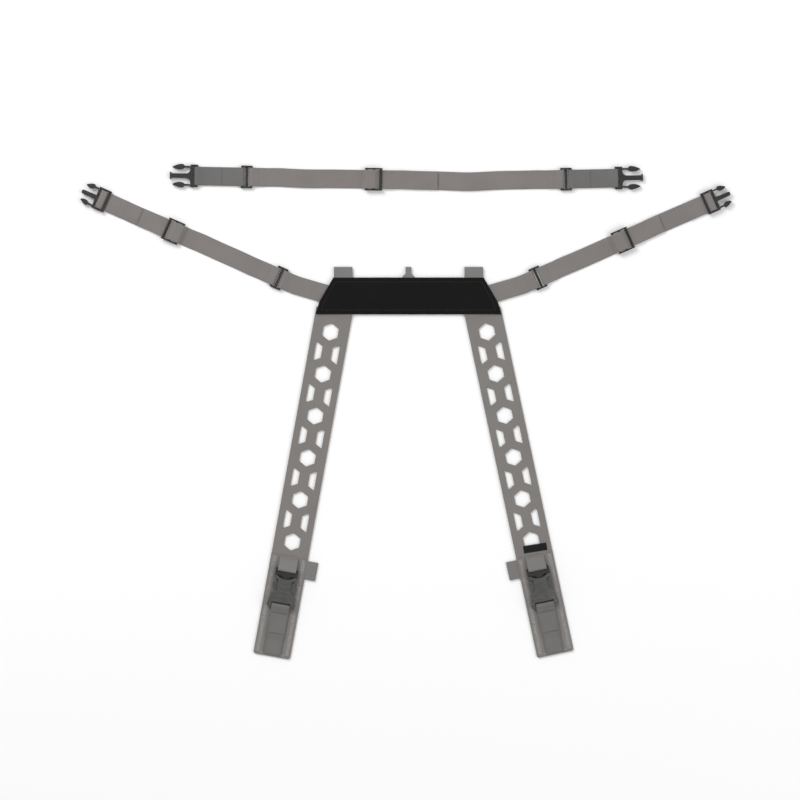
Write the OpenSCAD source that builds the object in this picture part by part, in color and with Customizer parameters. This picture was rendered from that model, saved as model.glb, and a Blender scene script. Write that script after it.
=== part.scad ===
// Binocular harness laid flat: a padded yoke, two cut-out shoulder straps with latch pads,
// two adjustable side straps, and a separate adjustable top strap.
// X to the wearer's right as drawn, Y towards the top strap, Z up off the face it lies on.
// The origin is the middle of the yoke's back face.

/* [Webbing] */
// Width of the webbing
web_w = 25.4; // [20:0.1:32]
// Thickness of the webbing
web_t = 1.3; // [1:0.1:1.5]

/* [Yoke] */
// Width of the yoke along its top edge
yoke_top_w = 206; // [180:1:250]
// Width of the yoke along its bottom edge
yoke_bottom_w = 255; // [235:1:310]
// Height of the yoke panel
yoke_h = 50.6; // [44:0.1:70]
// Thickness of the back panel
yoke_back_t = 1.2; // [1:0.1:2]
// Thickness of the front panel
yoke_front_t = 1.4; // [1:0.1:2.5]
// Width of the sewn border round the yoke
yoke_border = 7; // [5:0.5:10]
// Distance between the centres of the two top tabs
tab_spacing = 178.8; // [150:0.1:190]
// How far the top tabs and the hang loop stand above the yoke
tab_rise = 14.5; // [10:0.5:25]
// Width of the hang loop's pinched stem
hang_stem_w = 8; // [6:0.5:12]

/* [Shoulder straps] */
// Width of the shoulder straps
strap_w = 50; // [44:1:60]
// Thickness of the shoulder strap laminate
strap_t = 2; // [1.6:0.1:3]
// Length of a shoulder strap from the yoke to its pad
strap_len = 332.5; // [330:0.5:420]
// Distance between the two straps at the yoke
strap_spacing = 205.4; // [180:0.1:206]
// Outward lean of the left strap, in degrees
strap_lean_left = 10.3; // [0:0.1:15]
// Outward lean of the right strap, in degrees
strap_lean_right = 12; // [0:0.1:15]
// Width across the flats of a hexagonal cut-out
hex_flats = 22; // [16:0.5:26]
// Distance from one hexagon to the next
hex_pitch = 58.4; // [50:0.1:60]
// Distance from the yoke to the first hexagon
hex_first = 21.8; // [18:0.1:26]
// Number of hexagons in a strap
hex_count = 6; // [3:1:6]
// Long side of the four-sided cut-outs
slot_long = 28; // [20:0.5:30]
// Width of the four-sided cut-outs
slot_w = 10; // [6:0.5:11]
// Strap left outside the four-sided cut-outs
slot_margin = 8.3; // [6:0.1:12]
// Length of the blank label
label_len = 32; // [24:0.5:40]
// Width of the blank label
label_w = 10; // [7:0.5:11]

/* [Latch pads] */
// Length of a latch pad
pad_len = 140.5; // [130:0.5:170]
// Width of a latch pad
pad_w = 50.5; // [46:0.5:62]
// Corner radius of a pad
pad_corner = 3; // [2:0.5:8]
// Thickness of the pad's back fabric
pad_back_t = 1.2; // [1:0.1:2]
// Thickness of the pad's front fabric
pad_front_t = 1.6; // [1:0.1:2.5]
// Distance from the pad's seam to the latch's web bar
latch_x = 20.5; // [18:0.1:24]
// How far the side loops stand out of the pads
side_loop_out = 15; // [10:0.5:25]
// Distance from the pad's seam to the middle of its side loop
side_loop_x = 16.2; // [14:0.1:40]

/* [Side straps] */
// Slope of the side straps, in degrees
side_slope = 23.8; // [10:0.1:30]
// Slope of the first piece of the side straps, in degrees
anchor_slope = 19; // [10:0.5:25]
// Length from the yoke's edge to the first connector
anchor_len = 64; // [56:0.5:90]
// Distance from the left connector to its adjuster
adjust_left = 158.5; // [120:0.5:200]
// Distance from the right connector to its adjuster
adjust_right = 127; // [105:0.5:200]
// Distance from the left adjuster to its buckle's rear bar
reach_left = 99.9; // [85:0.1:160]
// Distance from the right adjuster to its buckle's rear bar
reach_right = 124; // [85:0.1:160]
// Free tail past the left adjuster
tail_left = 49; // [40:0.5:60]
// Free tail past the right adjuster
tail_right = 59; // [40:0.5:60]

/* [Top strap] */
// Height of the top strap's adjuster above the yoke's middle
top_y = 159.6; // [120:0.1:200]
// Place of the top strap's adjuster, from the yoke's middle
top_x = -47.6; // [-80:0.1:20]
// Distance from the left connector to the adjuster
top_left = 173.9; // [140:0.5:200]
// Distance from the adjuster to the right connector
top_right = 263.4; // [220:0.5:300]
// Distance from the adjuster to the strap's lowest point
top_bend = 131; // [110:0.5:150]
// Free tail past the top adjuster
top_tail = 88; // [60:0.5:100]
// Length of an end band, from the connector's middle to the buckle's bar
band_len = 68.8; // [60:0.1:100]
// Fall of the left half of the top strap, in degrees
top_fall = 1.1; // [0:0.1:3]
// Rise of the right half of the top strap, in degrees
top_climb = 1.2; // [0:0.1:3]

/* [Fittings] */
// Radius of every round bar that webbing turns about
bar_r = 1.5; // [1.2:0.1:1.9]
// Width of a rail beside the webbing
rail_w = 2.2; // [1.6:0.1:3]
// Distance between the bars of a connector
connector_pitch = 6.2; // [6:0.1:8]
// Distance between the bars of an adjuster
glide_pitch = 9.8; // [9:0.1:12]
// Width of a buckle's middle guide
guide_w = 6.3; // [5:0.1:7]
// Width of a prong's arm
arm_w = 2.4; // [1.8:0.1:2.8]
// Length of a side strap buckle's guide past its base
guide_len = 20.4; // [19:0.1:23]
// Length of a latch's or top buckle's guide past its base
plain_guide_len = 28; // [26:0.1:31]
// Thickness of a buckle's male half
male_t = 4.8; // [4.4:0.1:5]

/* [Clearances] */
// Room between webbing and the bar it turns about
bar_fit = 0.2; // [0.15:0.05:0.4]
// Room between two layers of webbing
layer_gap = 0.1; // [0.05:0.05:0.2]
// Room between pieces that turn past each other
turn_gap = 0.3; // [0.25:0.05:0.6]
// Room between webbing edges and the rails
side_fit = 0.6; // [0.4:0.1:1]

/* [Hidden] */
$fn = 48;

LEFT = 0;
RIGHT = 1;

WEB_GREY = [0.5, 0.48, 0.48];
STRAP_GREY = [0.45, 0.44, 0.43];
BLACK_FABRIC = [0.1, 0.1, 0.1];
BLACK_PLASTIC = [0.15, 0.15, 0.15];

// Layers of webbing stacked on the floor, and the path radius round a bar
layer_pitch = web_t + layer_gap;
layer_0 = web_t / 2;
layer_1 = layer_0 + layer_pitch;
layer_2 = layer_1 + layer_pitch;
turn_r = bar_r + bar_fit + web_t / 2;
stack_t = web_t + layer_pitch;
rail_in = web_w / 2 + side_fit;
rail_out = rail_in + rail_w;

// Yoke levels: back panel, the room for the sewn-in ends, front panel
yoke_room = 2 * web_t + 3 * layer_gap + 0.1;
yoke_kink_y = -yoke_h * 0.162;
yoke_kink_x = yoke_bottom_w / 2 - 5.1;
web_z = yoke_back_t + layer_gap + web_t / 2;
strap_z = 0.5;
strap_mid = strap_z + strap_t / 2;
strap_gap = strap_t / 2 + turn_gap;
strap_seam = strap_gap + strap_len;
strap_lean = [strap_lean_left, strap_lean_right];
outward = [-1, 1];

// Side strap buckle: places along its length from the rear bar, at zero
main_x0 = 2 * turn_r + 1;
main_x1 = main_x0 + 3.6;
base_x0 = main_x1 + turn_r + web_t / 2 + 2 * bar_fit;
base_x1 = base_x0 + 3.4;
rail_back = bar_r + 0.7;
arm_y = rail_out - 3.1;
arm_start = arm_w / 2 + 0.2;
prong_half = 1.8;
barb_half = 2.7;
hinge_back = 5.2;
knuckle_r = stack_t / 2;
low_layer = -turn_r - layer_pitch;
swing_x = -hinge_back;
swing_z = (-turn_r + low_layer) / 2;
// Barb of a prong, from the end of the base and the middle of its arm
SLANTED_BARB = [
    [6.2, 1.3], [7.4, 3.2], [10.5, 2.6], [15, 0.7], [17.9, -1.2],
    [17.6, -2.2], [15, -3.6], [11, -4.2], [8, -3.4], [6, -1.3]
];

// Latch and top buckle: one web bar at zero, then the base
plain_x0 = turn_r + web_t / 2 + 0.8;
plain_x1 = plain_x0 + 4.7;
plain_tip = plain_x1 + plain_guide_len;
fillet_r = 5.6;
head_len = 2;
head_w = 10.2;
LEAF_BARB = [
    [7.8, 1.1], [9, 3.2], [11, 3.8], [14, 3.6], [18, 2.6], [21.5, 1.2], [24.2, -0.1],
    [24.4, -0.9], [21.5, -2.4], [17.5, -3.7], [14, -3.9], [10.5, -3.4], [8.4, -2.2], [7, -1.1]
];

// Female half of the latch, in the same places as the plain male
female_half = 4.1;
female_x0 = plain_x1 + 0.5;
female_end = female_x0 + 43.2;
female_bar = female_end - 2.2;
female_wall = 1;
window_x0 = plain_x1 + 5;
window_x1 = plain_x1 + 23.2;
cavity_end = plain_tip + 1.2;
cavity_w = 2 * (arm_y + 2.4);
slot_len = 3.2;
mouth_r = 20;
mouth_depth = 4;

// Heights of the bars
connector_z = layer_0 + turn_r;
glide_z = layer_2 + turn_r;
buckle_z = layer_1 + turn_r;
pad_top = pad_back_t + layer_gap + pad_front_t;
latch_z = pad_top + 0.2 + female_half;

adjust = [adjust_left, adjust_right];
reach = [reach_left, reach_right];
tail = [tail_left, tail_right];
sewn_len = 16;

// ---- outlines and paths ----

function unit(v) = v / norm(v);
function arc(c, r, from, to, n = 8) =
    [for (i = [0:n]) let (a = from + (to - from) * i / n) c + r * [cos(a), sin(a)]];
function bend_normal(p, i) =
    let (
        last = len(p) - 1,
        before = unit(p[max(i, 1)] - p[max(i, 1) - 1]),
        after = unit(p[min(i + 1, last)] - p[min(i, last - 1)]),
        along = unit(before + after)
    )
    [-along.y, along.x] / (along * before);
function beside(p, d) = [for (i = [0:len(p) - 1]) p[i] + d * bend_normal(p, i)];
function backwards(p) = [for (i = [len(p) - 1:-1:0]) p[i]];
function ribbon(p, t) = concat(beside(p, t / 2), backwards(beside(p, -t / 2)));
function flip_x(p) = [for (q = p) [-q.x, q.y]];
// Side view of a flat piece with a round end at the origin, running to x
function nosed(x, t) = concat([[x, t / 2]], arc([0, 0], t / 2, 90, 270), [[x, -t / 2]]);
// Angle on a circle where the line to a point outside it touches
function touch(c, r, p, s) = atan2(p.y - c.y, p.x - c.x) + s * acos(r / norm(p - c));

// A length of webbing that follows a path seen from its edge
module webbing(p, w = web_w, t = web_t)
    rotate([90, 0, 0]) linear_extrude(w, center = true) polygon(ribbon(p, t));

// A slab of any width with one round edge, along Y at the origin
module nosed_slab(reach, t, w)
    rotate([90, 0, 0]) linear_extrude(w, center = true) polygon(nosed(reach, t));

// A bar across the webbing
module cross_bar(x, r = bar_r, half = rail_in + 0.5)
    translate([x, 0, 0]) rotate([90, 0, 0]) cylinder(r = r, h = 2 * half, center = true);

// A flat plate with two round ends
module slug(x0, x1, y0, y1, half) {
    r = (y1 - y0) / 2;
    translate([0, (y0 + y1) / 2, -half]) linear_extrude(2 * half) {
        translate([x0 + r, 0]) circle(r);
        translate([x1 - r, 0]) circle(r);
        translate([x0 + r, -r]) square([x1 - x0 - 2 * r, 2 * r]);
    }
}

module both_sides() {
    children();
    mirror([0, 1, 0]) children();
}

// ---- places ----

// Point on the yoke's side edge where a side strap leaves it
function yoke_half(y) = y > yoke_kink_y
    ? yoke_top_w / 2 + (yoke_kink_x - yoke_top_w / 2) * (yoke_h / 2 - y) / (yoke_h / 2 - yoke_kink_y)
    : yoke_kink_x + (yoke_bottom_w / 2 - yoke_kink_x) * (yoke_kink_y - y) / (yoke_h / 2 + yoke_kink_y);
label_back = label_w / 2 + 2.5;
label_tilt = 3;
edge_slope = atan2(yoke_kink_x - yoke_top_w / 2, yoke_h / 2 - yoke_kink_y);
anchor_y = yoke_h * 0.075;
anchor_gap = web_t / 2 + turn_gap;
anchor_x = yoke_half(anchor_y) + anchor_gap / cos(edge_slope);
connector_at = [anchor_x, anchor_y] + anchor_len * [cos(anchor_slope), sin(anchor_slope)];

// Shoulder strap frame: X runs down the strap from the fold at the yoke, Y across it
module on_strap(side)
    translate([outward[side] * strap_spacing / 2, -yoke_h / 2 - strap_gap, 0])
        rotate(-90 + outward[side] * strap_lean[side]) children();

// Pad frame: X runs on down the strap from the pad's fold
module on_pad(side) on_strap(side) translate([strap_seam, 0, 0]) children();

// Latch frame: X runs down the pad from the latch's rear bar
module on_latch(side) on_pad(side) translate([latch_x, 0, latch_z]) children();

// Side strap frame: X runs outward from the middle of the connector
module on_side(side)
    translate([outward[side] * connector_at.x, connector_at.y, 0])
        rotate(side == LEFT ? 180 - side_slope : side_slope) children();

module on_buckle(side) on_side(side) translate([adjust[side] + reach[side], 0, buckle_z]) children();

// Top strap frames: X runs right from the adjuster, and right from the lowest point
module on_top_left() translate([top_x, top_y, 0]) rotate(-top_fall) children();
module on_top_right()
    on_top_left() translate([top_bend, 0, 0]) rotate(top_fall + top_climb) children();

// A top connector's frame: X runs outward from its middle
module on_top_end(side) {
    if (side == LEFT) on_top_left() translate([-top_left, 0, 0]) rotate(180) children();
    else on_top_right() translate([top_right - top_bend, 0, 0]) children();
}
module on_top_buckle(side) on_top_end(side) translate([band_len, 0, connector_z]) children();

// ---- yoke ----

module yoke_outline(inset = 0) {
    y1 = yoke_h / 2 - inset;
    side_inset = inset * 1.2;
    points = [
        [yoke_half(y1) - side_inset, y1],
        [yoke_kink_x - side_inset, yoke_kink_y],
        [yoke_half(-y1) - side_inset, -y1]
    ];
    polygon(concat(points, backwards(flip_x(points))));
}

// The space that a sewn-in strap end takes inside the yoke
module strap_end_space(side, room = 0)
    translate([outward[side] * strap_spacing / 2, -yoke_h / 2 - 1, yoke_back_t])
        linear_extrude(yoke_room)
            translate([-strap_w / 2 - room, 0])
                square([strap_w + 2 * room, yoke_border + 10 + 1]);

module anchor_end_space(side, room = 0)
    translate([outward[side] * anchor_x, anchor_y, yoke_back_t])
        rotate(side == LEFT ? 180 - anchor_slope : anchor_slope)
            translate([-yoke_border - 16, -web_w / 2 - room, 0])
                cube([yoke_border + 20, web_w + 2 * room, yoke_room]);

module yoke_front_panel() color(BLACK_FABRIC) difference() {
    translate([0, 0, yoke_back_t]) linear_extrude(yoke_room + yoke_front_t) yoke_outline();
    translate([0, 0, yoke_back_t - 1]) linear_extrude(yoke_room + 1) yoke_outline(yoke_border);
    for (side = [LEFT, RIGHT]) {
        strap_end_space(side, 0.3);
        anchor_end_space(side, 0.3);
        translate([outward[side] * tab_spacing / 2 - web_w / 2 - 0.3, 0, yoke_back_t])
            cube([web_w + 0.6, yoke_h, yoke_room]);
    }
    translate([-web_w / 2 - 0.3, 0, yoke_back_t]) cube([web_w + 0.6, yoke_h, yoke_room]);
}

module yoke_back_panel() color(BLACK_FABRIC) linear_extrude(yoke_back_t) yoke_outline();

// Ends of the shoulder straps and side straps, held inside the yoke
module sewn_in_ends() {
    color(STRAP_GREY) for (side = [LEFT, RIGHT])
        translate([outward[side] * strap_spacing / 2, -yoke_h / 2, yoke_back_t + layer_gap])
            translate([-strap_w / 2, 0, 0]) cube([strap_w, yoke_border + 8, strap_t]);
    color(WEB_GREY) for (side = [LEFT, RIGHT]) difference() {
        intersection() {
            translate([0, 0, web_z - web_t / 2]) linear_extrude(web_t) yoke_outline();
            anchor_end_space(side);
            translate([outward[side] * 200 - 100, -web_w, 0]) cube([200, yoke_h + web_w, 10]);
        }
        tab_end_space(outward[side]);
    }
}

// The space round a top tab's sewn-in end
module tab_end_space(x)
    translate([x * tab_spacing / 2 - web_w / 2 - layer_gap, yoke_h / 2 - yoke_border - 3.1, 0])
        cube([web_w + 2 * layer_gap, yoke_border + 10, yoke_h]);

// A folded loop of webbing; X runs out from the sewn edge
module folded_loop(out, inside, w = web_w)
    webbing(concat(
        [[-inside, layer_0]],
        arc([out - web_t - layer_gap / 2, layer_0 + layer_pitch / 2], layer_pitch / 2, -90, 90),
        [[-inside, layer_1]]
    ), w);

module top_tabs() color(WEB_GREY) for (x = [-1, 1])
    translate([x * tab_spacing / 2, yoke_h / 2, yoke_back_t + layer_gap]) rotate(90)
        folded_loop(tab_rise, yoke_border + 3);

// Pinched webbing: wide where it is sewn in, narrow at its stem
module hang_loop() color(WEB_GREY)
    translate([0, yoke_h / 2, yoke_back_t + layer_gap]) intersection() {
        rotate(90) folded_loop(tab_rise, yoke_border + 3, web_w * 0.9);
        linear_extrude(20, center = true) polygon([
            [-web_w * 0.45, -20],
            [web_w * 0.45, -20],
            [web_w * 0.45, -1],
            [hang_stem_w * 0.7, 2.5],
            [hang_stem_w / 2, 5],
            [hang_stem_w / 2, 30],
            [-hang_stem_w / 2, 30],
            [-hang_stem_w / 2, 5],
            [-hang_stem_w * 0.7, 2.5],
            [-web_w * 0.45, -1]
        ]);
    }

// ---- shoulder straps ----

// Four-sided cut-out: long side outward, ends parallel to the hexagons' faces
module slot_cut() {
    y1 = strap_w / 2 - slot_margin;
    y0 = y1 - slot_w;
    shorter = slot_w * tan(30);
    polygon([
        [-slot_long / 2, y1],
        [slot_long / 2, y1],
        [slot_long / 2 - shorter, y0],
        [shorter - slot_long / 2, y0]
    ]);
}

module strap_outline() difference() {
    back = strap_w / 2;
    translate([-back, -strap_w / 2]) square([strap_seam + 2 * back, strap_w]);
    for (i = [0:hex_count - 1])
        translate([strap_gap + hex_first + i * hex_pitch, 0]) circle(hex_flats / sqrt(3), $fn = 6);
    for (i = [0:hex_count - 2])
        translate([strap_gap + hex_first + (i + 0.5) * hex_pitch, 0]) {
            slot_cut();
            mirror([0, 1]) slot_cut();
        }
}

// The strap's ends are round where it folds at the yoke and at its pad
module shoulder_strap(side) color(STRAP_GREY) intersection() {
    on_strap(side) linear_extrude(strap_z + 2 * strap_t) strap_outline();
    on_strap(side) translate([0, 0, strap_mid]) rotate(-outward[side] * strap_lean[side])
        nosed_slab(strap_seam + 3 * strap_w, strap_t, strap_seam);
    on_strap(side) translate([strap_seam, 0, strap_mid]) rotate(180)
        nosed_slab(strap_seam + strap_w, strap_t, 2 * strap_w);
}

module pad_outline() {
    x0 = strap_gap;
    r = pad_corner;
    translate([x0, -pad_w / 2]) square([pad_len - r - x0, pad_w]);
    translate([x0, r - pad_w / 2]) square([pad_len - x0, pad_w - 2 * r]);
    for (y = [r - pad_w / 2, pad_w / 2 - r]) translate([pad_len - r, y]) circle(r);
}

module pad_front(side) color(STRAP_GREY)
    on_pad(side) translate([0, 0, pad_back_t + layer_gap]) linear_extrude(pad_front_t)
        pad_outline();

module pad_back(side) color(STRAP_GREY)
    on_pad(side) linear_extrude(pad_back_t) pad_outline();

module side_loop(side) color(WEB_GREY) on_pad(side)
    translate([side_loop_x, -outward[side] * (pad_w / 2 + 0.05), 0.1])
        rotate(-outward[side] * 90) folded_loop(side_loop_out, 0);

module blank_label() color(BLACK_FABRIC) on_strap(RIGHT)
    translate([strap_seam - label_back, 3, strap_z + strap_t + 0.05]) rotate(-label_tilt)
        translate([-label_w / 2, -label_len / 2, 0]) cube([label_w, label_len, 0.6]);

// ---- buckles ----

// Webbing round the buckle's main bar, under its rear bar, both layers running back to x
function buckle_path(x) = let (lean = acos(2 * turn_r / main_x0)) concat(
    [[x, -turn_r]],
    arc([0, 0], turn_r, 270, 360 - lean, 6),
    arc([main_x0, 0], turn_r, 180 - lean, 90, 6),
    arc([main_x1, 0], turn_r, 90, -90, 12),
    [[1.2, low_layer], [x, low_layer]]
);

// Middle guide from x1, narrowing to a chamfered tip
module guide_outline(x1, len, tip_w) polygon([
    [x1 - 1, -guide_w / 2],
    [x1 + len - 1.2, -tip_w / 2],
    [x1 + len, 1.1 - tip_w / 2],
    [x1 + len, tip_w / 2 - 1.1],
    [x1 + len - 1.2, tip_w / 2],
    [x1 - 1, guide_w / 2]
]);

module base_outline(x0, x1)
    translate([x0, 0.8 - rail_out]) square([x1 - x0, 2 * rail_out - 1.6]);

// Male half of a side strap's buckle: a ladder frame whose web bar lies inside its rear bar
module ladder_male() color(BLACK_PLASTIC) {
    translate([0, 0, -male_t / 2]) linear_extrude(male_t) {
        base_outline(base_x0, base_x1);
        guide_outline(base_x1, guide_len, guide_w * 0.84);
    }
    both_sides() slug(-rail_back, base_x1, rail_in, rail_out, male_t / 2);
    for (x = [0, main_x0, main_x1]) cross_bar(x);
    translate([main_x0, -rail_in - 0.5, -bar_r])
        cube([main_x1 - main_x0, 2 * rail_in + 1, 2 * bar_r]);
}

module plain_outline() {
    base_outline(plain_x0, plain_x1);
    translate([plain_x1 - 1, -guide_w / 2]) square([plain_guide_len, guide_w]);
    difference() {
        translate([plain_x1 - 1, -guide_w / 2 - fillet_r])
            square([fillet_r + 1, guide_w + 2 * fillet_r]);
        for (y = [-1, 1])
            translate([plain_x1 + fillet_r, y * (guide_w / 2 + fillet_r)]) circle(fillet_r);
    }
    polygon([
        [plain_tip - head_len, -head_w / 2],
        [plain_tip - 0.7, -head_w / 2],
        [plain_tip, 0.7 - head_w / 2],
        [plain_tip, head_w / 2 - 0.7],
        [plain_tip - 0.7, head_w / 2],
        [plain_tip - head_len, head_w / 2]
    ]);
}

// Male half of a latch or of a top buckle: its web bar lies just behind the base
module plain_male() color(BLACK_PLASTIC) {
    translate([0, 0, -male_t / 2]) linear_extrude(male_t) plain_outline();
    both_sides() slug(-rail_back, plain_x1, rail_in, rail_out, male_t / 2);
    cross_bar(0);
}

// One springy prong from a base that ends at x1: a thin arm and its barb
module prong(side, x1, barb) color(BLACK_PLASTIC) mirror([0, side, 0]) translate([x1, arm_y, 0]) {
    translate([arm_start, 0, -prong_half]) cylinder(d = arm_w, h = 2 * prong_half);
    translate([arm_start, -arm_w / 2, -prong_half]) cube([7, arm_w, 2 * prong_half]);
    translate([0, 0, -barb_half]) linear_extrude(2 * barb_half) polygon(barb);
}

// Female half, latched on the male: two plates, side walls behind the windows, and a web bar
module female_outline() {
    half = cavity_w / 2 + 1.3;
    points = [
        [female_x0, half], [female_x0 + 3, half], [female_x0 + 4.5, 12], [female_x0 + 6.3, 9.8],
        [female_x0 + 9, 9.2], [female_x0 + 18.5, 9.2], [female_x0 + 21, 10.5],
        [female_x0 + 24, half], [female_end - 10, half + 1], [female_end - 2, half + 2.8],
        [female_end, half + 2]
    ];
    polygon(concat(points, backwards([for (p = points) [p.x, -p.y]])));
}

module latch_female(side) color(BLACK_PLASTIC) on_latch(side) {
    room_half = female_half - female_wall;
    difference() {
        translate([0, 0, -female_half]) linear_extrude(2 * female_half) female_outline();
        // Cavity for the guide and prongs, open at the mouth and at the side windows
        translate([female_x0 - 1, -cavity_w / 2, -room_half])
            cube([cavity_end - female_x0 + 1, cavity_w, 2 * room_half]);
        translate([window_x0, -25, -room_half]) cube([window_x1 - window_x0, 50, 2 * room_half]);
        // Curved mouth over the male's base
        translate([female_x0 + mouth_depth - mouth_r, 0, 0])
            cylinder(r = mouth_r, h = 4 * female_half, center = true);
        // Room for the lower webbing round its bar
        translate([female_bar - bar_r - slot_len, -rail_in, -female_half - 1])
            cube([slot_len + 3 * bar_r, 2 * rail_in, 2 * female_half + 2]);
    }
    cross_bar(female_bar);
}

// ---- webbing on the latch pads ----

tab_low = pad_top + layer_gap + web_t / 2 - latch_z;
lower_sewn = 41.9;

// The tab rises from the pad's seam, round the latch's bar and back
module latch_tab(side) color(WEB_GREY) on_latch(side) {
    start = strap_gap + 1 - latch_x;
    low = [start + 2, tab_low];
    high = [start + 2, tab_low + layer_pitch];
    webbing(concat(
        [[start, high.y], high],
        arc([0, 0], turn_r, touch([0, 0], turn_r, high, -1) + 360, touch([0, 0], turn_r, low, 1), 14),
        [low, [start, low.y]]
    ));
}

module lower_web(side) color(WEB_GREY) on_latch(side) {
    bar = [female_bar, 0];
    low = tab_low;
    high = low + layer_pitch;
    drop_low = [female_bar + 8, low];
    drop_high = [female_bar + 8, high];
    over = touch(bar, turn_r, drop_high, 1);
    under = touch(bar, turn_r, drop_low, -1);
    end = pad_len - latch_x - 2.5;
    sewn = female_bar + lower_sewn;
    webbing(concat(
        [[end, low], [sewn + 3.5, low], [sewn, high], drop_high],
        arc(bar, turn_r, over, 360 + under, 14),
        [drop_low, [sewn - 1.5, low]]
    ));
}

// ---- connectors, adjusters and the webbing round them ----

// Three bars between two short rails
module connector_body() color(BLACK_PLASTIC) translate([0, 0, connector_z]) {
    for (i = [-1:1]) cross_bar(i * connector_pitch);
    both_sides() slug(-connector_pitch - 1.8, connector_pitch + 1.8, rail_in, rail_out, 1.9);
}

// Webbing over and round one outer bar of a connector, at x, leaving towards -X
function loop_over(x, fall = 9) =
    let (bar = [x, connector_z], meet = [x - fall, layer_1], a = touch(bar, turn_r, meet, -1))
    concat([meet], arc(bar, turn_r, a < 0 ? a + 360 : a, -90, 14));

// First piece of a side strap: from the fold at the yoke to the connector
module anchor_web(side) color(WEB_GREY) {
    bend = anchor_len - 30;
    mirror([side == LEFT ? 1 : 0, 0, 0]) translate([anchor_x, anchor_y, web_z]) intersection() {
        rotate(anchor_slope) translate([-20, -web_w / 2, -web_t])
            cube([bend + 20, web_w, 2 * web_t]);
        rotate(edge_slope) nosed_slab(3 * bend, web_t, 4 * web_w);
    }
    on_side(side) webbing(concat(
        [[-32, web_z], [-connector_pitch - sewn_len - 1, web_z]],
        loop_over(-connector_pitch),
        [[-connector_pitch - sewn_len, layer_0]]
    ));
}

// Webbing that ends round a connector's outer bar (X away from it) and threads an adjuster at x
function threaded(x, tail_len) = let (
    inner = [x - glide_pitch, glide_z],
    middle = [x, glide_z],
    outer = [x + glide_pitch, glide_z],
    over_r = turn_r + layer_pitch,
    foot = [x - glide_pitch - 7, layer_0],
    rise = touch(inner, turn_r, foot, -1) + 360,
    dive = acos((turn_r + over_r) / glide_pitch),
    crest = asin((over_r - turn_r) / glide_pitch)
) concat(
    [foot],
    arc(inner, turn_r, rise, 90 + crest, 6),
    arc(middle, over_r, 90 + crest, dive, 8),
    arc(outer, turn_r, 180 + dive, 270, 6),
    [[x + 25, layer_2], [x + 30, layer_1], [x + tail_len, layer_1]]
);

module adjust_web(side) color(WEB_GREY) on_side(side) webbing(concat(
    backwards(flip_x(concat(
        [[-connector_pitch - sewn_len - 4, layer_0], [-connector_pitch - sewn_len - 0.5, layer_1]],
        loop_over(-connector_pitch),
        [[-connector_pitch - sewn_len, layer_0]]
    ))),
    threaded(adjust[side], tail[side])
));

module glide_body(x) color(BLACK_PLASTIC) translate([x, 0, glide_z]) {
    for (i = [-1:1]) cross_bar(i * glide_pitch);
    both_sides()
        slug(-glide_pitch - bar_r - 0.9, glide_pitch + bar_r + 0.9, rail_in, rail_out, 1.8);
}

// Webbing sewn round an adjuster's middle bar at x, its run leaving towards +X on the floor
function held(x) = let (
    middle = [x, glide_z],
    low = [x + glide_pitch - 3.8, layer_0],
    high = [x + glide_pitch - 2.6, layer_1]
) concat(
    [[x + 24, layer_1], high],
    arc(middle, turn_r, touch(middle, turn_r, high, 1), 360 + touch(middle, turn_r, low, -1), 16),
    [low]
);

module buckle_web(side) color(WEB_GREY) on_side(side) {
    x1 = adjust[side] + reach[side] - hinge_back - knuckle_r - turn_gap;
    webbing(concat(held(adjust[side]), [
        [x1 - 22, layer_0],
        [x1 - 18.5, layer_1],
        [x1, layer_1]
    ]));
    webbing([[x1 - 17, layer_0], [x1, layer_0]]);
}

// The part of the webbing that turns with the buckle: two layers joined by a round end
module buckle_loop(side) color(WEB_GREY) on_buckle(side)
    rotate([90, 0, 0]) linear_extrude(web_w, center = true) {
        polygon(ribbon(buckle_path(swing_x), web_t));
        translate([swing_x, swing_z]) polygon(nosed(web_t, 2 * knuckle_r));
    }

// ---- top strap ----

module top_web_left() color(WEB_GREY) on_top_left() webbing(concat(
    backwards(flip_x(concat(
        [
            [top_left - connector_pitch - sewn_len - 4, layer_0],
            [top_left - connector_pitch - sewn_len - 0.5, layer_1]
        ],
        loop_over(top_left - connector_pitch),
        [[top_left - connector_pitch - sewn_len, layer_0]]
    ))),
    threaded(0, top_tail)
));

module top_web_right() color(WEB_GREY) {
    on_top_left() webbing(concat(held(0), [[top_bend + 0.3, layer_0]]));
    on_top_right() webbing(concat(
        [
            [0, layer_0],
            [top_right - top_bend - connector_pitch - sewn_len - 4, layer_0],
            [top_right - top_bend - connector_pitch - sewn_len - 0.5, layer_1]
        ],
        loop_over(top_right - top_bend - connector_pitch),
        [[top_right - top_bend - connector_pitch - sewn_len, layer_0]]
    ));
}

// An end band: one belt round the connector's outer bar and the buckle's bar, its ends butted
module top_band(side) color(WEB_GREY) on_top_end(side) {
    butt = band_len / 2 - 0.5;
    webbing(concat(
        [[butt + 0.2, layer_1]],
        loop_over(band_len),
        backwards(flip_x(loop_over(-connector_pitch))),
        [[butt - 0.2, layer_1]]
    ));
}

// ---- assembly ----

module side_strap(name, side) {
    if (name == "anchor_web") anchor_web(side);
    if (name == "connector") on_side(side) connector_body();
    if (name == "adjust_web") adjust_web(side);
    if (name == "adjuster") on_side(side) glide_body(adjust[side]);
    if (name == "buckle_web") buckle_web(side);
    if (name == "buckle_loop") buckle_loop(side);
    if (name == "buckle_male") on_buckle(side) ladder_male();
    if (name == "buckle_prong_a") on_buckle(side) prong(0, base_x1, SLANTED_BARB);
    if (name == "buckle_prong_b") on_buckle(side) prong(1, base_x1, SLANTED_BARB);
}

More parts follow.
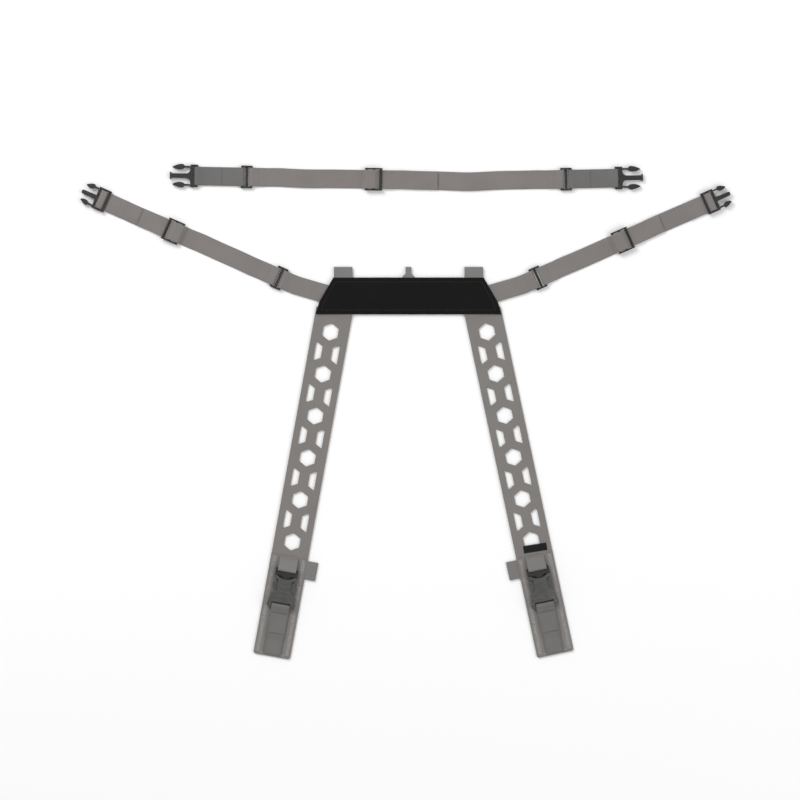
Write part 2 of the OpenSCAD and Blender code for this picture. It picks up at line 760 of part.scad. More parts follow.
module shoulder(name, side) {
    if (name == "shoulder_strap") shoulder_strap(side);
    if (name == "pad_front") pad_front(side);
    if (name == "pad_back") pad_back(side);
    if (name == "side_loop") side_loop(side);
    if (name == "latch_tab") latch_tab(side);
    if (name == "latch_male") on_latch(side) plain_male();
    if (name == "latch_prong_a") on_latch(side) prong(0, plain_x1, LEAF_BARB);
    if (name == "latch_prong_b") on_latch(side) prong(1, plain_x1, LEAF_BARB);
    if (name == "latch_female") latch_female(side);
    if (name == "lower_web") lower_web(side);
}

module top_end(name, side) {
    if (name == "top_connector") on_top_end(side) connector_body();
    if (name == "top_band") top_band(side);
    if (name == "top_male") on_top_buckle(side) plain_male();
    if (name == "top_prong_a") on_top_buckle(side) prong(0, plain_x1, LEAF_BARB);
    if (name == "top_prong_b") on_top_buckle(side) prong(1, plain_x1, LEAF_BARB);
}

SIDED = [
    "anchor_web", "connector", "adjust_web", "adjuster", "buckle_web", "buckle_loop",
    "buckle_male", "buckle_prong_a", "buckle_prong_b",
    "shoulder_strap", "pad_front", "pad_back", "side_loop", "latch_tab", "latch_male",
    "latch_prong_a", "latch_prong_b", "latch_female", "lower_web",
    "top_connector", "top_band", "top_male", "top_prong_a", "top_prong_b"
];

module sided(base, side) {
    side_strap(base, side);
    shoulder(base, side);
    top_end(base, side);
}

yoke_front_panel();
yoke_back_panel();
sewn_in_ends();
top_tabs();
hang_loop();
blank_label();
top_web_left();
on_top_left() glide_body(0);  // top_adjuster
top_web_right();
for (base = SIDED) sided(base, LEFT);
for (base = SIDED) sided(base, RIGHT);
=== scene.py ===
# %% [markdown]
# # A binocular harness, laid flat
#
# The harness is a padded yoke with two cut-out shoulder straps, two adjustable side straps and
# a separate top strap. The frame below brings in the exact engineering solids. This lesson
# gives each of them its fabric or moulded finish, in metres, in the same place.

# %% Frame
from math import acos, atan2, cos, degrees, hypot, pi, radians, sin, tan

import bmesh
import bpy
from mathutils import Matrix, Vector, noise
from mathutils.bvhtree import BVHTree


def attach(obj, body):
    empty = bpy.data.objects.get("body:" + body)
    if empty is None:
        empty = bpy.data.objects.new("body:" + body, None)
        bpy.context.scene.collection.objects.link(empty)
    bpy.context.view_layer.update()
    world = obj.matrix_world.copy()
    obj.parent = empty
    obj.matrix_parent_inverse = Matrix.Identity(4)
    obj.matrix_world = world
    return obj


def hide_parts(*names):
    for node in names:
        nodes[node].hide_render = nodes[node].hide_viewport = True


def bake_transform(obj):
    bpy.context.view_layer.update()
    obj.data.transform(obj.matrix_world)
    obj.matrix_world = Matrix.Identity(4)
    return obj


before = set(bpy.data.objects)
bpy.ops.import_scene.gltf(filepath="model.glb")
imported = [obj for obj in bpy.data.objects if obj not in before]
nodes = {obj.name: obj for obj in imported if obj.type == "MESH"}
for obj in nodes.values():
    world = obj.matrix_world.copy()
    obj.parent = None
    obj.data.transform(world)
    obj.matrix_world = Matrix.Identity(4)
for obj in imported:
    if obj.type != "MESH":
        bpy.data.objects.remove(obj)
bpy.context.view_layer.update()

# %% [markdown]
# The camera looks straight down on the flat lay from far away, so a long lens shows every
# strap at one scale. It is made first, because everything else is judged through it.

# %% Camera
VIEW_WIDTH = 1.096
VIEW_CENTRE = (-0.0116, -0.1425)
VIEW_HEIGHT = 5.0

camera_data = bpy.data.cameras.new("camera")
camera = bpy.data.objects.new("camera", camera_data)
bpy.context.scene.collection.objects.link(camera)
camera_data.sensor_width = 36.0
camera_data.lens = 36.0 * VIEW_HEIGHT / VIEW_WIDTH
camera_data.clip_end = 50
camera.location = (VIEW_CENTRE[0], VIEW_CENTRE[1], VIEW_HEIGHT)
bpy.context.scene.camera = camera
print("camera", tuple(camera.location), "lens", round(camera_data.lens, 1))

# %% [markdown]
# Sizes are in millimetres and repeat the engineering model's own, so that cloth and solid
# agree. Each fitting has its own small frame: X runs along the webbing and Y across it.

# %% Sizes
WEB_W, WEB_T = 25.4, 1.3
BAR_R, BAR_FIT, LAYER_GAP, TURN_GAP = 1.5, 0.2, 0.1, 0.3
YOKE_TOP_W, YOKE_BOTTOM_W, YOKE_H, YOKE_BORDER = 206.0, 255.0, 50.6, 7.0
YOKE_KINK_IN, YOKE_KINK_Y, YOKE_BACK_T = 5.1, -YOKE_H * 0.162, 1.2
TAB_SPACING, TAB_RISE, HANG_STEM_W = 178.8, 14.5, 8.0
STRAP_W, STRAP_T, STRAP_LEN, STRAP_SPACING = 50.0, 2.0, 332.5, 205.4
STRAP_LEAN = {"left": 10.3, "right": 12.0}
HEX_FLATS, HEX_PITCH, HEX_FIRST, HEX_COUNT = 22.0, 58.4, 21.8, 6
SLOT_LONG, SLOT_W, SLOT_MARGIN = 28.0, 10.0, 8.3
PAD_LEN, PAD_W, PAD_CORNER, PAD_BACK_T, PAD_FRONT_T = 140.5, 50.5, 3.0, 1.2, 1.6
LATCH_X, SIDE_LOOP_OUT, SIDE_LOOP_X = 20.5, 15.0, 16.2
LABEL_W, LABEL_LEN, LABEL_TILT = 10.0, 32.0, 3.0
SIDE_SLOPE, ANCHOR_SLOPE, ANCHOR_LEN = 23.8, 19.0, 64.0
ADJUST = {"left": 158.5, "right": 127.0}
REACH = {"left": 99.9, "right": 124.0}
TAIL = {"left": 49.0, "right": 59.0}
TOP_Y, TOP_X, TOP_LEFT, TOP_RIGHT, TOP_BEND, TOP_TAIL = 159.6, -47.6, 173.9, 263.4, 131.0, 88.0
BAND_LEN, TOP_FALL, TOP_CLIMB = 68.8, 1.1, 1.2
CONNECTOR_PITCH, GLIDE_PITCH = 6.2, 9.8
SEWN_LEN = 16.0
OUT = {"left": -1, "right": 1}

PITCH = WEB_T + LAYER_GAP
L0 = WEB_T / 2
L1, L2 = L0 + PITCH, L0 + 2 * PITCH
TURN_R = BAR_R + BAR_FIT + WEB_T / 2
STACK_T = WEB_T + PITCH
WEB_Z = YOKE_BACK_T + LAYER_GAP + WEB_T / 2
STRAP_Z = 0.5
STRAP_MID = STRAP_Z + STRAP_T / 2
STRAP_GAP = STRAP_T / 2 + TURN_GAP
STRAP_SEAM = STRAP_GAP + STRAP_LEN
CONNECTOR_Z = L0 + TURN_R
GLIDE_Z = L2 + TURN_R
BUCKLE_Z = L1 + TURN_R
PAD_TOP = PAD_BACK_T + LAYER_GAP + PAD_FRONT_T
LATCH_Z = PAD_TOP + 0.2 + 4.1
MAIN_X0 = 2 * TURN_R + 1
MAIN_X1 = MAIN_X0 + 3.6
BASE_X1 = MAIN_X1 + TURN_R + WEB_T / 2 + 2 * BAR_FIT + 3.4
PLAIN_X1 = TURN_R + WEB_T / 2 + 5.5
FEMALE_X0 = PLAIN_X1 + 0.5
FEMALE_END = FEMALE_X0 + 43.2
FEMALE_BAR = FEMALE_END - 2.2
HINGE_BACK = 5.2
LOW_LAYER = -TURN_R - PITCH
print("webbing turns about a bar at radius", TURN_R, "mm")

# %% [markdown]
# Every strap and fitting is drawn in its own small frame, a matrix that turns and moves the
# drawing to its place. Frames are chained: a latch sits on its pad, a pad on its strap, and a
# strap at the yoke's edge. One value then moves everything that hangs from it.


# %% Frames
def place(x=0.0, y=0.0, turn=0.0):
    return Matrix.Translation((x, y, 0)) @ Matrix.Rotation(radians(turn), 4, "Z")


def yoke_half(y):
    """Half the yoke's width at height y, measured from its middle."""
    top_x, kink_x = YOKE_TOP_W / 2, YOKE_BOTTOM_W / 2 - YOKE_KINK_IN
    if y > YOKE_KINK_Y:
        return top_x + (kink_x - top_x) * (YOKE_H / 2 - y) / (YOKE_H / 2 - YOKE_KINK_Y)
    return kink_x + YOKE_KINK_IN * (YOKE_KINK_Y - y) / (YOKE_H / 2 + YOKE_KINK_Y)


EDGE_SLOPE = degrees(
    atan2(YOKE_BOTTOM_W / 2 - YOKE_KINK_IN - YOKE_TOP_W / 2, YOKE_H / 2 - YOKE_KINK_Y)
)
ANCHOR_Y = YOKE_H * 0.075
ANCHOR_X = yoke_half(ANCHOR_Y) + (WEB_T / 2 + TURN_GAP) / cos(radians(EDGE_SLOPE))
CONNECTOR_AT = (
    ANCHOR_X + ANCHOR_LEN * cos(radians(ANCHOR_SLOPE)),
    ANCHOR_Y + ANCHOR_LEN * sin(radians(ANCHOR_SLOPE)),
)

on_strap, on_pad, on_latch, on_side, on_buckle, on_top_end = {}, {}, {}, {}, {}, {}
on_top_left = place(TOP_X, TOP_Y, -TOP_FALL)
on_top_right = on_top_left @ place(TOP_BEND, 0, TOP_FALL + TOP_CLIMB)
for side, out in OUT.items():
    strap_turn = -90 + out * STRAP_LEAN[side]
    on_strap[side] = place(out * STRAP_SPACING / 2, -YOKE_H / 2 - STRAP_GAP, strap_turn)
    on_pad[side] = on_strap[side] @ place(STRAP_SEAM)
    on_latch[side] = on_pad[side] @ place(LATCH_X)
    turn = SIDE_SLOPE if side == "right" else 180 - SIDE_SLOPE
    on_side[side] = place(out * CONNECTOR_AT[0], CONNECTOR_AT[1], turn)
    on_buckle[side] = on_side[side] @ place(ADJUST[side] + REACH[side])
on_top_end["left"] = on_top_left @ place(-TOP_LEFT, 0, 180)
on_top_end["right"] = on_top_right @ place(TOP_RIGHT - TOP_BEND)


def world_point(where, x, y=0.0, z=0.0):
    return tuple(0.001 * c for c in where @ Vector((x, y, z)))


print("frames ready; right connector at", world_point(on_side["right"], 0))

# %% [markdown]
# A material here is a small network of nodes. Writing one by hand is long, so this helper
# takes a short tuple such as `("MULTIPLY", a, b)` and wires the maths nodes for it.


# %% Node helpers
class Paint:
    """One material's node tree, with a Principled shader at its end."""

    def __init__(self, name, roughness, sheen=0.0, sheen_rough=0.5, specular=0.5):
        self.material = bpy.data.materials.new(name)
        self.material.use_nodes = True
        self.tree = self.material.node_tree
        self.shader = self.tree.nodes["Principled BSDF"]
        self.shader.inputs["Roughness"].default_value = roughness
        self.shader.inputs["Sheen Weight"].default_value = sheen
        self.shader.inputs["Sheen Roughness"].default_value = sheen_rough
        self.shader.inputs["Specular IOR Level"].default_value = specular

    def node(self, kind, **settings):
        made = self.tree.nodes.new(kind)
        for key, value in settings.items():
            setattr(made, key, value)
        return made

    def plug(self, value, socket):
        if isinstance(value, (int, float)):
            socket.default_value = value
        elif isinstance(value, tuple) and isinstance(value[0], str):
            self.tree.links.new(self.maths(value), socket)
        elif isinstance(value, tuple):
            socket.default_value = value
        else:
            self.tree.links.new(value, socket)

    def maths(self, words):
        made = self.node("ShaderNodeMath", operation=words[0])
        for value, socket in zip(words[1:], made.inputs):
            self.plug(value, socket)
        return made.outputs[0]

    def cloth_uv(self):
        """Millimetres across the cloth and millimetres along it."""
        uv = self.node("ShaderNodeUVMap", uv_map="cloth")
        parts = self.node("ShaderNodeSeparateXYZ")
        self.plug(uv.outputs[0], parts.inputs[0])
        return parts.outputs[0], parts.outputs[1]

    def speckle(self, scale, detail, stretch=(1, 1, 1)):
        """Noise fixed to the piece: its scale is in lumps per metre."""
        where = self.node("ShaderNodeTexCoord")
        sized = self.node("ShaderNodeMapping")
        sized.inputs["Scale"].default_value = stretch
        self.plug(where.outputs["Object"], sized.inputs["Vector"])
        made = self.node("ShaderNodeTexNoise")
        made.inputs["Scale"].default_value = scale
        made.inputs["Detail"].default_value = detail
        self.plug(sized.outputs[0], made.inputs["Vector"])
        return made.outputs[0]

    def blend_colour(self, amount, dark, light):
        ramp = self.node("ShaderNodeMix", data_type="RGBA")
        self.plug(amount, ramp.inputs["Factor"])
        ramp.inputs["A"].default_value = (*dark, 1)
        ramp.inputs["B"].default_value = (*light, 1)
        return ramp.outputs["Result"]

    def finish(self, colour, height, distance):
        """Colour on the shader, and a bump that stands `distance` metres high."""
        self.plug(colour, self.shader.inputs["Base Color"])
        bump = self.node("ShaderNodeBump")
        bump.inputs["Distance"].default_value = distance
        bump.inputs["Strength"].default_value = 1.0
        self.plug(height, bump.inputs["Height"])
        self.plug(bump.outputs[0], self.shader.inputs["Normal"])
        return self.material


print("node helpers ready")

# %% [markdown]
# Nylon webbing is woven in narrow columns. In each column the threads slant one way, and in
# the next column the other way, which makes a fine herringbone. The pattern follows the
# cloth's own millimetres, so it turns round bars with the webbing. The colour darkens towards
# the two edges, and soft noise stands for handling marks and dust.


# %% Webbing material
def webbing_material(name, tone, column=1.9, pick=1.15):
    paint = Paint(name, 0.78, sheen=0.25, sheen_rough=0.45, specular=0.35)
    across, along = paint.cloth_uv()
    lane = ("PINGPONG", across, column)
    slant = ("SINE", ("MULTIPLY", ("ADD", along, lane), 2 * pi / pick))
    groove = ("ABSOLUTE", ("SINE", ("MULTIPLY", across, pi / column)))
    rows = ("MULTIPLY_ADD", slant, 0.5, 0.5)
    height = ("ADD", ("MULTIPLY", rows, 0.65), ("MULTIPLY", ("POWER", groove, 0.5), 0.35))
    # The colour darkens towards the two edges of the webbing.
    from_edge = ("SUBTRACT", WEB_W / 2, ("ABSOLUTE", across))
    edge = ("SMOOTH_MIN", 1.0, ("MULTIPLY", from_edge, 0.8), 0.2)
    patches = paint.speckle(26.0, 5.0)
    fuzz = paint.speckle(900.0, 2.0)
    shade = ("ADD", ("MULTIPLY", rows, 0.20), ("MULTIPLY", patches, 0.55))
    shade = ("ADD", shade, ("MULTIPLY", fuzz, 0.30))
    shade = ("MULTIPLY", shade, ("MULTIPLY_ADD", edge, 0.3, 0.7))
    dark = tuple(c * 0.72 for c in tone)
    light = tuple(min(1.0, c * 1.26) for c in tone)
    return paint.finish(paint.blend_colour(shade, dark, light), height, 0.00022)


def srgb(red, green, blue):
    """The linear colour a shader wants, from a colour picker's 0 to 255."""
    return tuple(
        (c / 255 / 12.92) if c < 11 else ((c / 255 + 0.055) / 1.055) ** 2.4
        for c in (red, green, blue)
    )


GREY_WEB = webbing_material("grey_webbing", srgb(124, 119, 117))
BAND_WEB = webbing_material("band_webbing", srgb(105, 104, 103))
TAB_WEB = webbing_material("tab_webbing", srgb(121, 119, 117))
LOWER_WEB = webbing_material("lower_webbing", srgb(109, 108, 107))
print("webbing materials ready")

# %% [markdown]
# The shoulder straps are a smooth coated laminate, cut by laser. It shows a very fine plain
# weave under the coating and a faint cloudiness. The yoke is a matt black woven nylon with a
# little lint on it. Two sine waves multiplied together make a plain weave for both.


# %% Laminate and black cloth
def laminate_material(name, tone):
    paint = Paint(name, 0.62, sheen=0.12, specular=0.4)
    across, along = paint.cloth_uv()
    warp = ("SINE", ("MULTIPLY", across, 2 * pi / 0.7))
    weft = ("SINE", ("MULTIPLY", along, 2 * pi / 0.7))
    weave = ("MULTIPLY_ADD", ("MULTIPLY", warp, weft), 0.5, 0.5)
    clouds = paint.speckle(22.0, 6.0)
    fuzz = paint.speckle(700.0, 2.0)
    shade = ("ADD", ("MULTIPLY", weave, 0.22), ("MULTIPLY", clouds, 0.5))
    shade = ("ADD", shade, ("MULTIPLY", fuzz, 0.26))
    dark = tuple(c * 0.80 for c in tone)
    light = tuple(c * 1.20 for c in tone)
    return paint.finish(paint.blend_colour(shade, dark, light), weave, 0.00008)


def black_cloth_material(name, tone, pick=1.0, sheen=0.1):
    paint = Paint(name, 0.88, sheen=sheen, sheen_rough=0.6, specular=0.15)
    across, along = paint.cloth_uv()
    warp = ("SINE", ("MULTIPLY", across, 2 * pi / pick))
    weft = ("SINE", ("MULTIPLY", along, 2 * pi / pick))
    weave = ("MULTIPLY_ADD", ("MULTIPLY", warp, weft), 0.5, 0.5)
    lint = ("POWER", paint.speckle(420.0, 3.0), 5.0)
    clouds = paint.speckle(18.0, 5.0)
    shade = ("ADD", ("MULTIPLY", weave, 0.35), ("MULTIPLY", clouds, 0.45))
    shade = ("ADD", shade, ("MULTIPLY", lint, 1.2))
    dark = tuple(c * 0.65 for c in tone)
    light = tuple(c * 1.6 for c in tone)
    return paint.finish(paint.blend_colour(shade, dark, light), weave, 0.00016)


LAMINATE = laminate_material("strap_laminate", srgb(119, 115, 112))
LAMINATE_EDGE = laminate_material("laminate_edge", srgb(84, 81, 79))
YOKE_CLOTH = black_cloth_material("yoke_cloth", srgb(13, 13, 13), sheen=0.03)
LABEL_CLOTH = black_cloth_material("label_cloth", srgb(20, 20, 21), 0.5, 0.08)
print("laminate and black cloth ready")

# %% [markdown]
# The fittings are acetal: dark, slightly satin, with the fine grain of the mould and a few
# pale scuffs. The latches' plastic is shinier, and painted paler to stand in for the sheen of
# light on them. Thread is a plain colour with fine noise for its twist, and the pads' edge
# thread is strongly mottled.


# %% Plastic and thread
def plastic_material(name, tone, gloss=0.46):
    paint = Paint(name, gloss, specular=0.45)
    grain = paint.speckle(1500.0, 3.0)
    scuffs = ("POWER", paint.speckle(90.0, 8.0, (1, 3, 1)), 3.0)
    dark = tuple(c * 0.85 for c in tone)
    light = tuple(c * 1.9 for c in tone)
    return paint.finish(paint.blend_colour(("MULTIPLY", scuffs, 1.4), dark, light), grain, 0.00006)


def thread_material(name, tone, grain=1200.0, spread=0.2):
    paint = Paint(name, 0.6, sheen=0.3, specular=0.4)
    twist = paint.speckle(grain, 2.0)
    dark = tuple(c * (1 - spread) for c in tone)
    light = tuple(min(1, c * (1 + 0.8 * spread)) for c in tone)
    return paint.finish(paint.blend_colour(twist, dark, light), twist, 0.00005)


PLASTIC = plastic_material("black_plastic", srgb(30, 30, 30))
# Latch plastic: glossier, and painted paler as a stand-in for the sheen on the latches.
PAINTED_SHEEN_PLASTIC = plastic_material("painted_sheen_plastic", srgb(70, 71, 69), 0.34)
GREY_THREAD = thread_material("grey_thread", srgb(104, 101, 99))
PALE_THREAD = thread_material("pale_thread", srgb(170, 169, 166), 420.0, 0.95)
# Dark thread for the tacks; the same dark colour also paints shadow at the tails' ends and along
# the pads' seams.
DARK_THREAD_AND_SHADE = thread_material("dark_thread_and_shade", srgb(78, 77, 76))
BLACK_THREAD = thread_material("black_thread", srgb(33, 33, 33))
print("plastic and thread ready")

# %% [markdown]
# Webbing is made the way it is in life: a flat strip is laid along a path. The strip starts
# as a grid whose columns are the points of the path. Each column is lifted to its point, the
# flat millimetres are kept as the cloth's UV map, and Solidify with a small Bevel gives the
# woven thickness. The path helpers below are the turns that webbing takes about a bar.


# %% Path helpers
def arc(centre, radius, start, end, steps=10):
    turns = [radians(start + (end - start) * i / steps) for i in range(steps + 1)]
    return [(centre[0] + radius * cos(a), centre[1] + radius * sin(a)) for a in turns]


def touch(centre, radius, point, sign):
    """Angle on a circle where the line to a point outside it touches."""
    dx, dz = point[0] - centre[0], point[1] - centre[1]
    return degrees(atan2(dz, dx)) + sign * degrees(acos(radius / hypot(dx, dz)))


def flip_x(path):
    return [(-x, z) for x, z in path]


def moved(path, dx, dz=0.0):
    return [(x + dx, z + dz) for x, z in path]


def loop_over(x, fall=9.0):
    """Over and round a connector's outer bar, leaving towards -X."""
    bar, meet = (x, CONNECTOR_Z), (x - fall, L1)
    start = touch(bar, TURN_R, meet, -1)
    return [meet] + arc(bar, TURN_R, start + 360 if start < 0 else start, -90, 20)


def threaded(x, tail):
    """In at an adjuster's inner bar, over its middle bar, under its outer bar, and a tail."""
    inner, middle, outer = (x - GLIDE_PITCH, GLIDE_Z), (x, GLIDE_Z), (x + GLIDE_PITCH, GLIDE_Z)
    over_r = TURN_R + PITCH
    foot = (x - GLIDE_PITCH - 7, L0)
    rise = touch(inner, TURN_R, foot, -1) + 360
    dive = degrees(acos((TURN_R + over_r) / GLIDE_PITCH))
    crest = degrees(pi / 2 - acos((over_r - TURN_R) / GLIDE_PITCH))
    return (
        [foot]
        + arc(inner, TURN_R, rise, 90 + crest, 8)
        + arc(middle, over_r, 90 + crest, dive, 12)
        + arc(outer, TURN_R, 180 + dive, 270, 8)
        + [(x + 25, L2), (x + 30, L1), (x + tail, L1)]
    )


def held(x):
    """Sewn round an adjuster's middle bar, its run leaving towards +X on the floor."""
    middle = (x, GLIDE_Z)
    low, high = (x + GLIDE_PITCH - 3.8, L0), (x + GLIDE_PITCH - 2.6, L1)
    top = touch(middle, TURN_R, high, 1)
    bottom = 360 + touch(middle, TURN_R, low, -1)
    return [(x + 24, L1), high] + arc(middle, TURN_R, top, bottom, 22) + [low]


def buckle_turn(back):
    """Under the rear bar, round the main bar and back under the rear bar."""
    lean = degrees(acos(2 * TURN_R / MAIN_X0))
    return (
        [(back, -TURN_R)]
        + arc((0, 0), TURN_R, 270, 360 - lean, 8)
        + arc((MAIN_X0, 0), TURN_R, 180 - lean, 90, 8)
        + arc((MAIN_X1, 0), TURN_R, 90, -90, 16)
        + [(1.2, LOW_LAYER), (back, LOW_LAYER)]
    )


def filled(path, step=4.0):
    """The path with long straights cut into short steps."""
    points = [path[0]]
    for a, b in zip(path, path[1:]):
        length = hypot(b[0] - a[0], b[1] - a[1])
        if length < 1e-6:
            continue
        count = max(1, int(length / step + 0.5))
        for i in range(1, count + 1):
            points.append((a[0] + (b[0] - a[0]) * i / count, a[1] + (b[1] - a[1]) * i / count))
    return points


print("path helpers ready")

# %% [markdown]
# The strip maker takes any such path. `new_object` turns millimetres into metres once, in the
# mesh itself, so every piece sits at the origin, unturned and unscaled.


# %% Strip maker
pieces = {}


def new_object(name, bm, materials, scale=0.001):
    mesh = bpy.data.meshes.new(name)
    if scale:
        bmesh.ops.scale(bm, vec=(scale,) * 3, verts=bm.verts)
    bm.to_mesh(mesh)
    bm.free()
    for material in materials:
        mesh.materials.append(material)
    for polygon in mesh.polygons:
        polygon.use_smooth = True
    made = bpy.data.objects.new(name, mesh)
    bpy.context.scene.collection.objects.link(made)
    pieces[name] = made
    return made


def thickened(made, thick, rounded, angle=60, even=False):
    """Live thickness about the cloth's middle, and small rounds on its cut edges."""
    solid = made.modifiers.new("thickness", "SOLIDIFY")
    solid.thickness, solid.offset, solid.use_even_offset = thick / 1000, 0.0, even
    edge = made.modifiers.new("edge", "BEVEL")
    edge.width, edge.segments, edge.limit_method = rounded / 1000, 2, "ANGLE"
    edge.angle_limit = radians(angle)


def strip(name, where, path, material, bend=None, narrow=None, across=8):
    """A strip of webbing along a path, in the frame `where`. Returns it and its length in mm."""
    points = filled(path)
    count = len(points)
    run = [0.0]
    for a, b in zip(points, points[1:]):
        run.append(run[-1] + hypot(b[0] - a[0], b[1] - a[1]))
    bm = bmesh.new()
    bmesh.ops.create_grid(bm, x_segments=count - 1, y_segments=across, size=0.5)
    cloth = bm.loops.layers.uv.new("cloth")
    flat = {}
    for v in bm.verts:
        i = min(count - 1, max(0, round((v.co.x + 0.5) * (count - 1))))
        wide = narrow(run[i] / run[-1]) if narrow else WEB_W
        y = v.co.y * wide
        flat[v] = (y, run[i])
        spot = Vector((points[i][0], y, points[i][1]))
        v.co = where @ (bend(spot) if bend else spot)
    for face in bm.faces:
        for loop in face.loops:
            loop[cloth].uv = flat[loop.vert]
    made = new_object(name, bm, [material])
    thickened(made, WEB_T, WEB_T * 0.32, even=True)
    return made, run[-1]


def web_piece(name, where, path, material, cad, bend=None):
    """A strip that stands for CAD nodes, which it hides."""
    made, length = strip(name, where, path, material, bend=bend)
    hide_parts(*cad)
    print(f"{name}: {length:.0f} mm of webbing")
    return made


def loose(calm, bend=None):
    """Long runs of webbing drift, lift and twist a little between the fittings at `calm`."""

    def lie(p):
        free = min(abs(p.x - x) for x in calm)
        share = min(1.0, max(0.0, (free - 22) / 26))
        share = share * share * (3 - 2 * share)
        drift = 0.55 * sin(p.x / 31 + 1.0) + 0.25 * sin(p.x / 12)
        lift = 0.6 + 0.35 * sin(p.x / 19 + 0.6) + 0.22 * sin(p.x / 27) * p.y / 12.7
        spot = Vector((p.x, p.y + share * drift, p.z + share * lift))
        return bend(spot) if bend else spot

    return lie


print("strip maker ready")

# %% [markdown]
# Each side strap is three lengths of webbing. The first is sewn into the yoke and carries a
# three-bar connector. The second threads the adjuster and leaves a free tail. The third is
# sewn to the adjuster's middle bar and carries the buckle.


# %% Side straps
def side_path_to_connector():
    return (
        [(-ANCHOR_LEN - 15, WEB_Z), (-CONNECTOR_PITCH - SEWN_LEN - 8, WEB_Z)]
        + [(-CONNECTOR_PITCH - SEWN_LEN - 1, L1 + 0.1)]
        + loop_over(-CONNECTOR_PITCH)
        + [(-CONNECTOR_PITCH - SEWN_LEN, L0)]
    )


def sewn_loop(bar_x):
    """A run's end: up on to its own fold, over the connector's bar and sewn down below."""
    sewn_x = bar_x - SEWN_LEN
    return [(sewn_x - 4, L0), (sewn_x - 0.5, L1)] + loop_over(bar_x) + [(sewn_x, L0)]


def anchor_bend(side):
    """The first length of a side strap curves a little towards the yoke."""
    drift = ANCHOR_LEN * sin(radians(SIDE_SLOPE - ANCHOR_SLOPE)) * OUT[side]

    def bend(p):
        t = (-p.x - 17) / (ANCHOR_LEN - 17)
        if t <= 0:
            return p
        ease = (t * t / 0.6 if t < 0.3 else t - 0.15) / 0.85
        return Vector((p.x, p.y + drift * ease, p.z))

    return bend


for side in OUT:
    where = on_side[side]
    made = web_piece(
        f"anchor_webbing_{side}", where, side_path_to_connector(), GREY_WEB,
        [f"anchor_web_{side}"], bend=anchor_bend(side),
    )
    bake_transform(made)

    buckle_x = ADJUST[side] + REACH[side]
    lie = loose((0, ADJUST[side], buckle_x))
    path = flip_x(sewn_loop(-CONNECTOR_PITCH))[::-1] + threaded(ADJUST[side], TAIL[side])
    made = web_piece(
        f"adjust_webbing_{side}", where, path, GREY_WEB, [f"adjust_web_{side}"], bend=lie
    )
    world_point(where, 26)
    world_point(where, ADJUST[side] - 24)
    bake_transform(made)

    hinge_x = buckle_x - HINGE_BACK
    end = hinge_x - STACK_T / 2 - TURN_GAP
    path = held(ADJUST[side]) + [(end - 22, L0), (end - 18.5, L1)]
    path = path + moved(buckle_turn(-HINGE_BACK - 2.0), buckle_x, BUCKLE_Z) + [(end - 17, L0)]
    made = web_piece(
        f"buckle_webbing_{side}", where, path, GREY_WEB,
        [f"buckle_web_{side}", f"buckle_loop_{side}"], bend=lie,
    )
    world_point(where, hinge_x - 2.5)
    world_point(where, hinge_x + 2.0)
    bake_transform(made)

# %% [markdown]
# The top strap is two lengths that meet at its adjuster, with a short band at each end. A
# band is one belt of slightly cooler grey round the connector's bar and the buckle's bar.

# %% Top strap
TOP_CALM = (-TOP_LEFT, 0, TOP_RIGHT)
path = flip_x(sewn_loop(TOP_LEFT - CONNECTOR_PITCH))[::-1] + threaded(0, TOP_TAIL)
top_left = web_piece(
    "top_webbing_left", on_top_left, path, GREY_WEB, ["top_web_left"], bend=loose(TOP_CALM)
)
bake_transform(top_left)


def top_bend(p):
    """The right half of the top strap climbs a little, past its lowest point."""
    climb = tan(radians(TOP_FALL + TOP_CLIMB))
    past = p.x - TOP_BEND
    if past < -15:
        return p
    rise = climb * ((past + 15) ** 2 / 60 if past < 15 else past)
    return Vector((p.x, p.y + rise, p.z))


path = held(0) + sewn_loop(TOP_RIGHT - CONNECTOR_PITCH)
top_right = web_piece(
    "top_webbing_right", on_top_left, path, GREY_WEB, ["top_web_right"],
    bend=loose(TOP_CALM, top_bend),
)
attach(top_right, "top_adjuster")

BUTT, BUTT_HALF_GAP = BAND_LEN / 2 - 0.5, 0.07
for side in OUT:
    path = [(BUTT + BUTT_HALF_GAP, L1)] + loop_over(BAND_LEN)
    path = path + flip_x(loop_over(-CONNECTOR_PITCH))[::-1] + [(BUTT - BUTT_HALF_GAP, L1)]
    made = web_piece(
        f"top_band_webbing_{side}", on_top_end[side], path, BAND_WEB, [f"top_band_{side}"]
    )
    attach(made, f"top_band_{side}")

# %% [markdown]
# Short pieces of webbing sit on the yoke and on the pads: two tabs and a pinched hang loop
# along the yoke's top edge, a loop out of the side of each pad, the tab that holds each
# latch, and the webbing that leaves the latch and is tacked down the pad.


# %% Tabs and loops
def folded(out, inside):
    tip = out - WEB_T - LAYER_GAP / 2
    path = [(-inside, L0)] + arc((tip, L0 + PITCH / 2), PITCH / 2, -90, 90, 12)
    return path + [(-inside, L1)]


tab_path = moved(folded(TAB_RISE, YOKE_BORDER + 3), 0, YOKE_BACK_T + LAYER_GAP)
for word, x in (("left", -TAB_SPACING / 2), ("right", TAB_SPACING / 2)):
    made = web_piece(
        f"top_tab_{word}", place(x, YOKE_H / 2, 90), tab_path, TAB_WEB, ["top_tabs"],
    )
    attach(made, "yoke")


HANG_W = WEB_W * 0.88


def pinched(share):
    """Width of the hang loop along its run: wide where sewn in, narrow at its stem."""
    end = min(share, 1 - share)
    ease = min(1.0, max(0.0, (end - 0.17) / 0.14))
    ease = ease * ease * (3 - 2 * ease)
    return HANG_W + (HANG_STEM_W - HANG_W) * ease


made, length = strip(
    "hang_loop_webbing", place(0, YOKE_H / 2, 90), tab_path, TAB_WEB, narrow=pinched
)
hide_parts("hang_loop")
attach(made, "yoke")
print(f"hang loop: {length:.0f} mm of webbing")

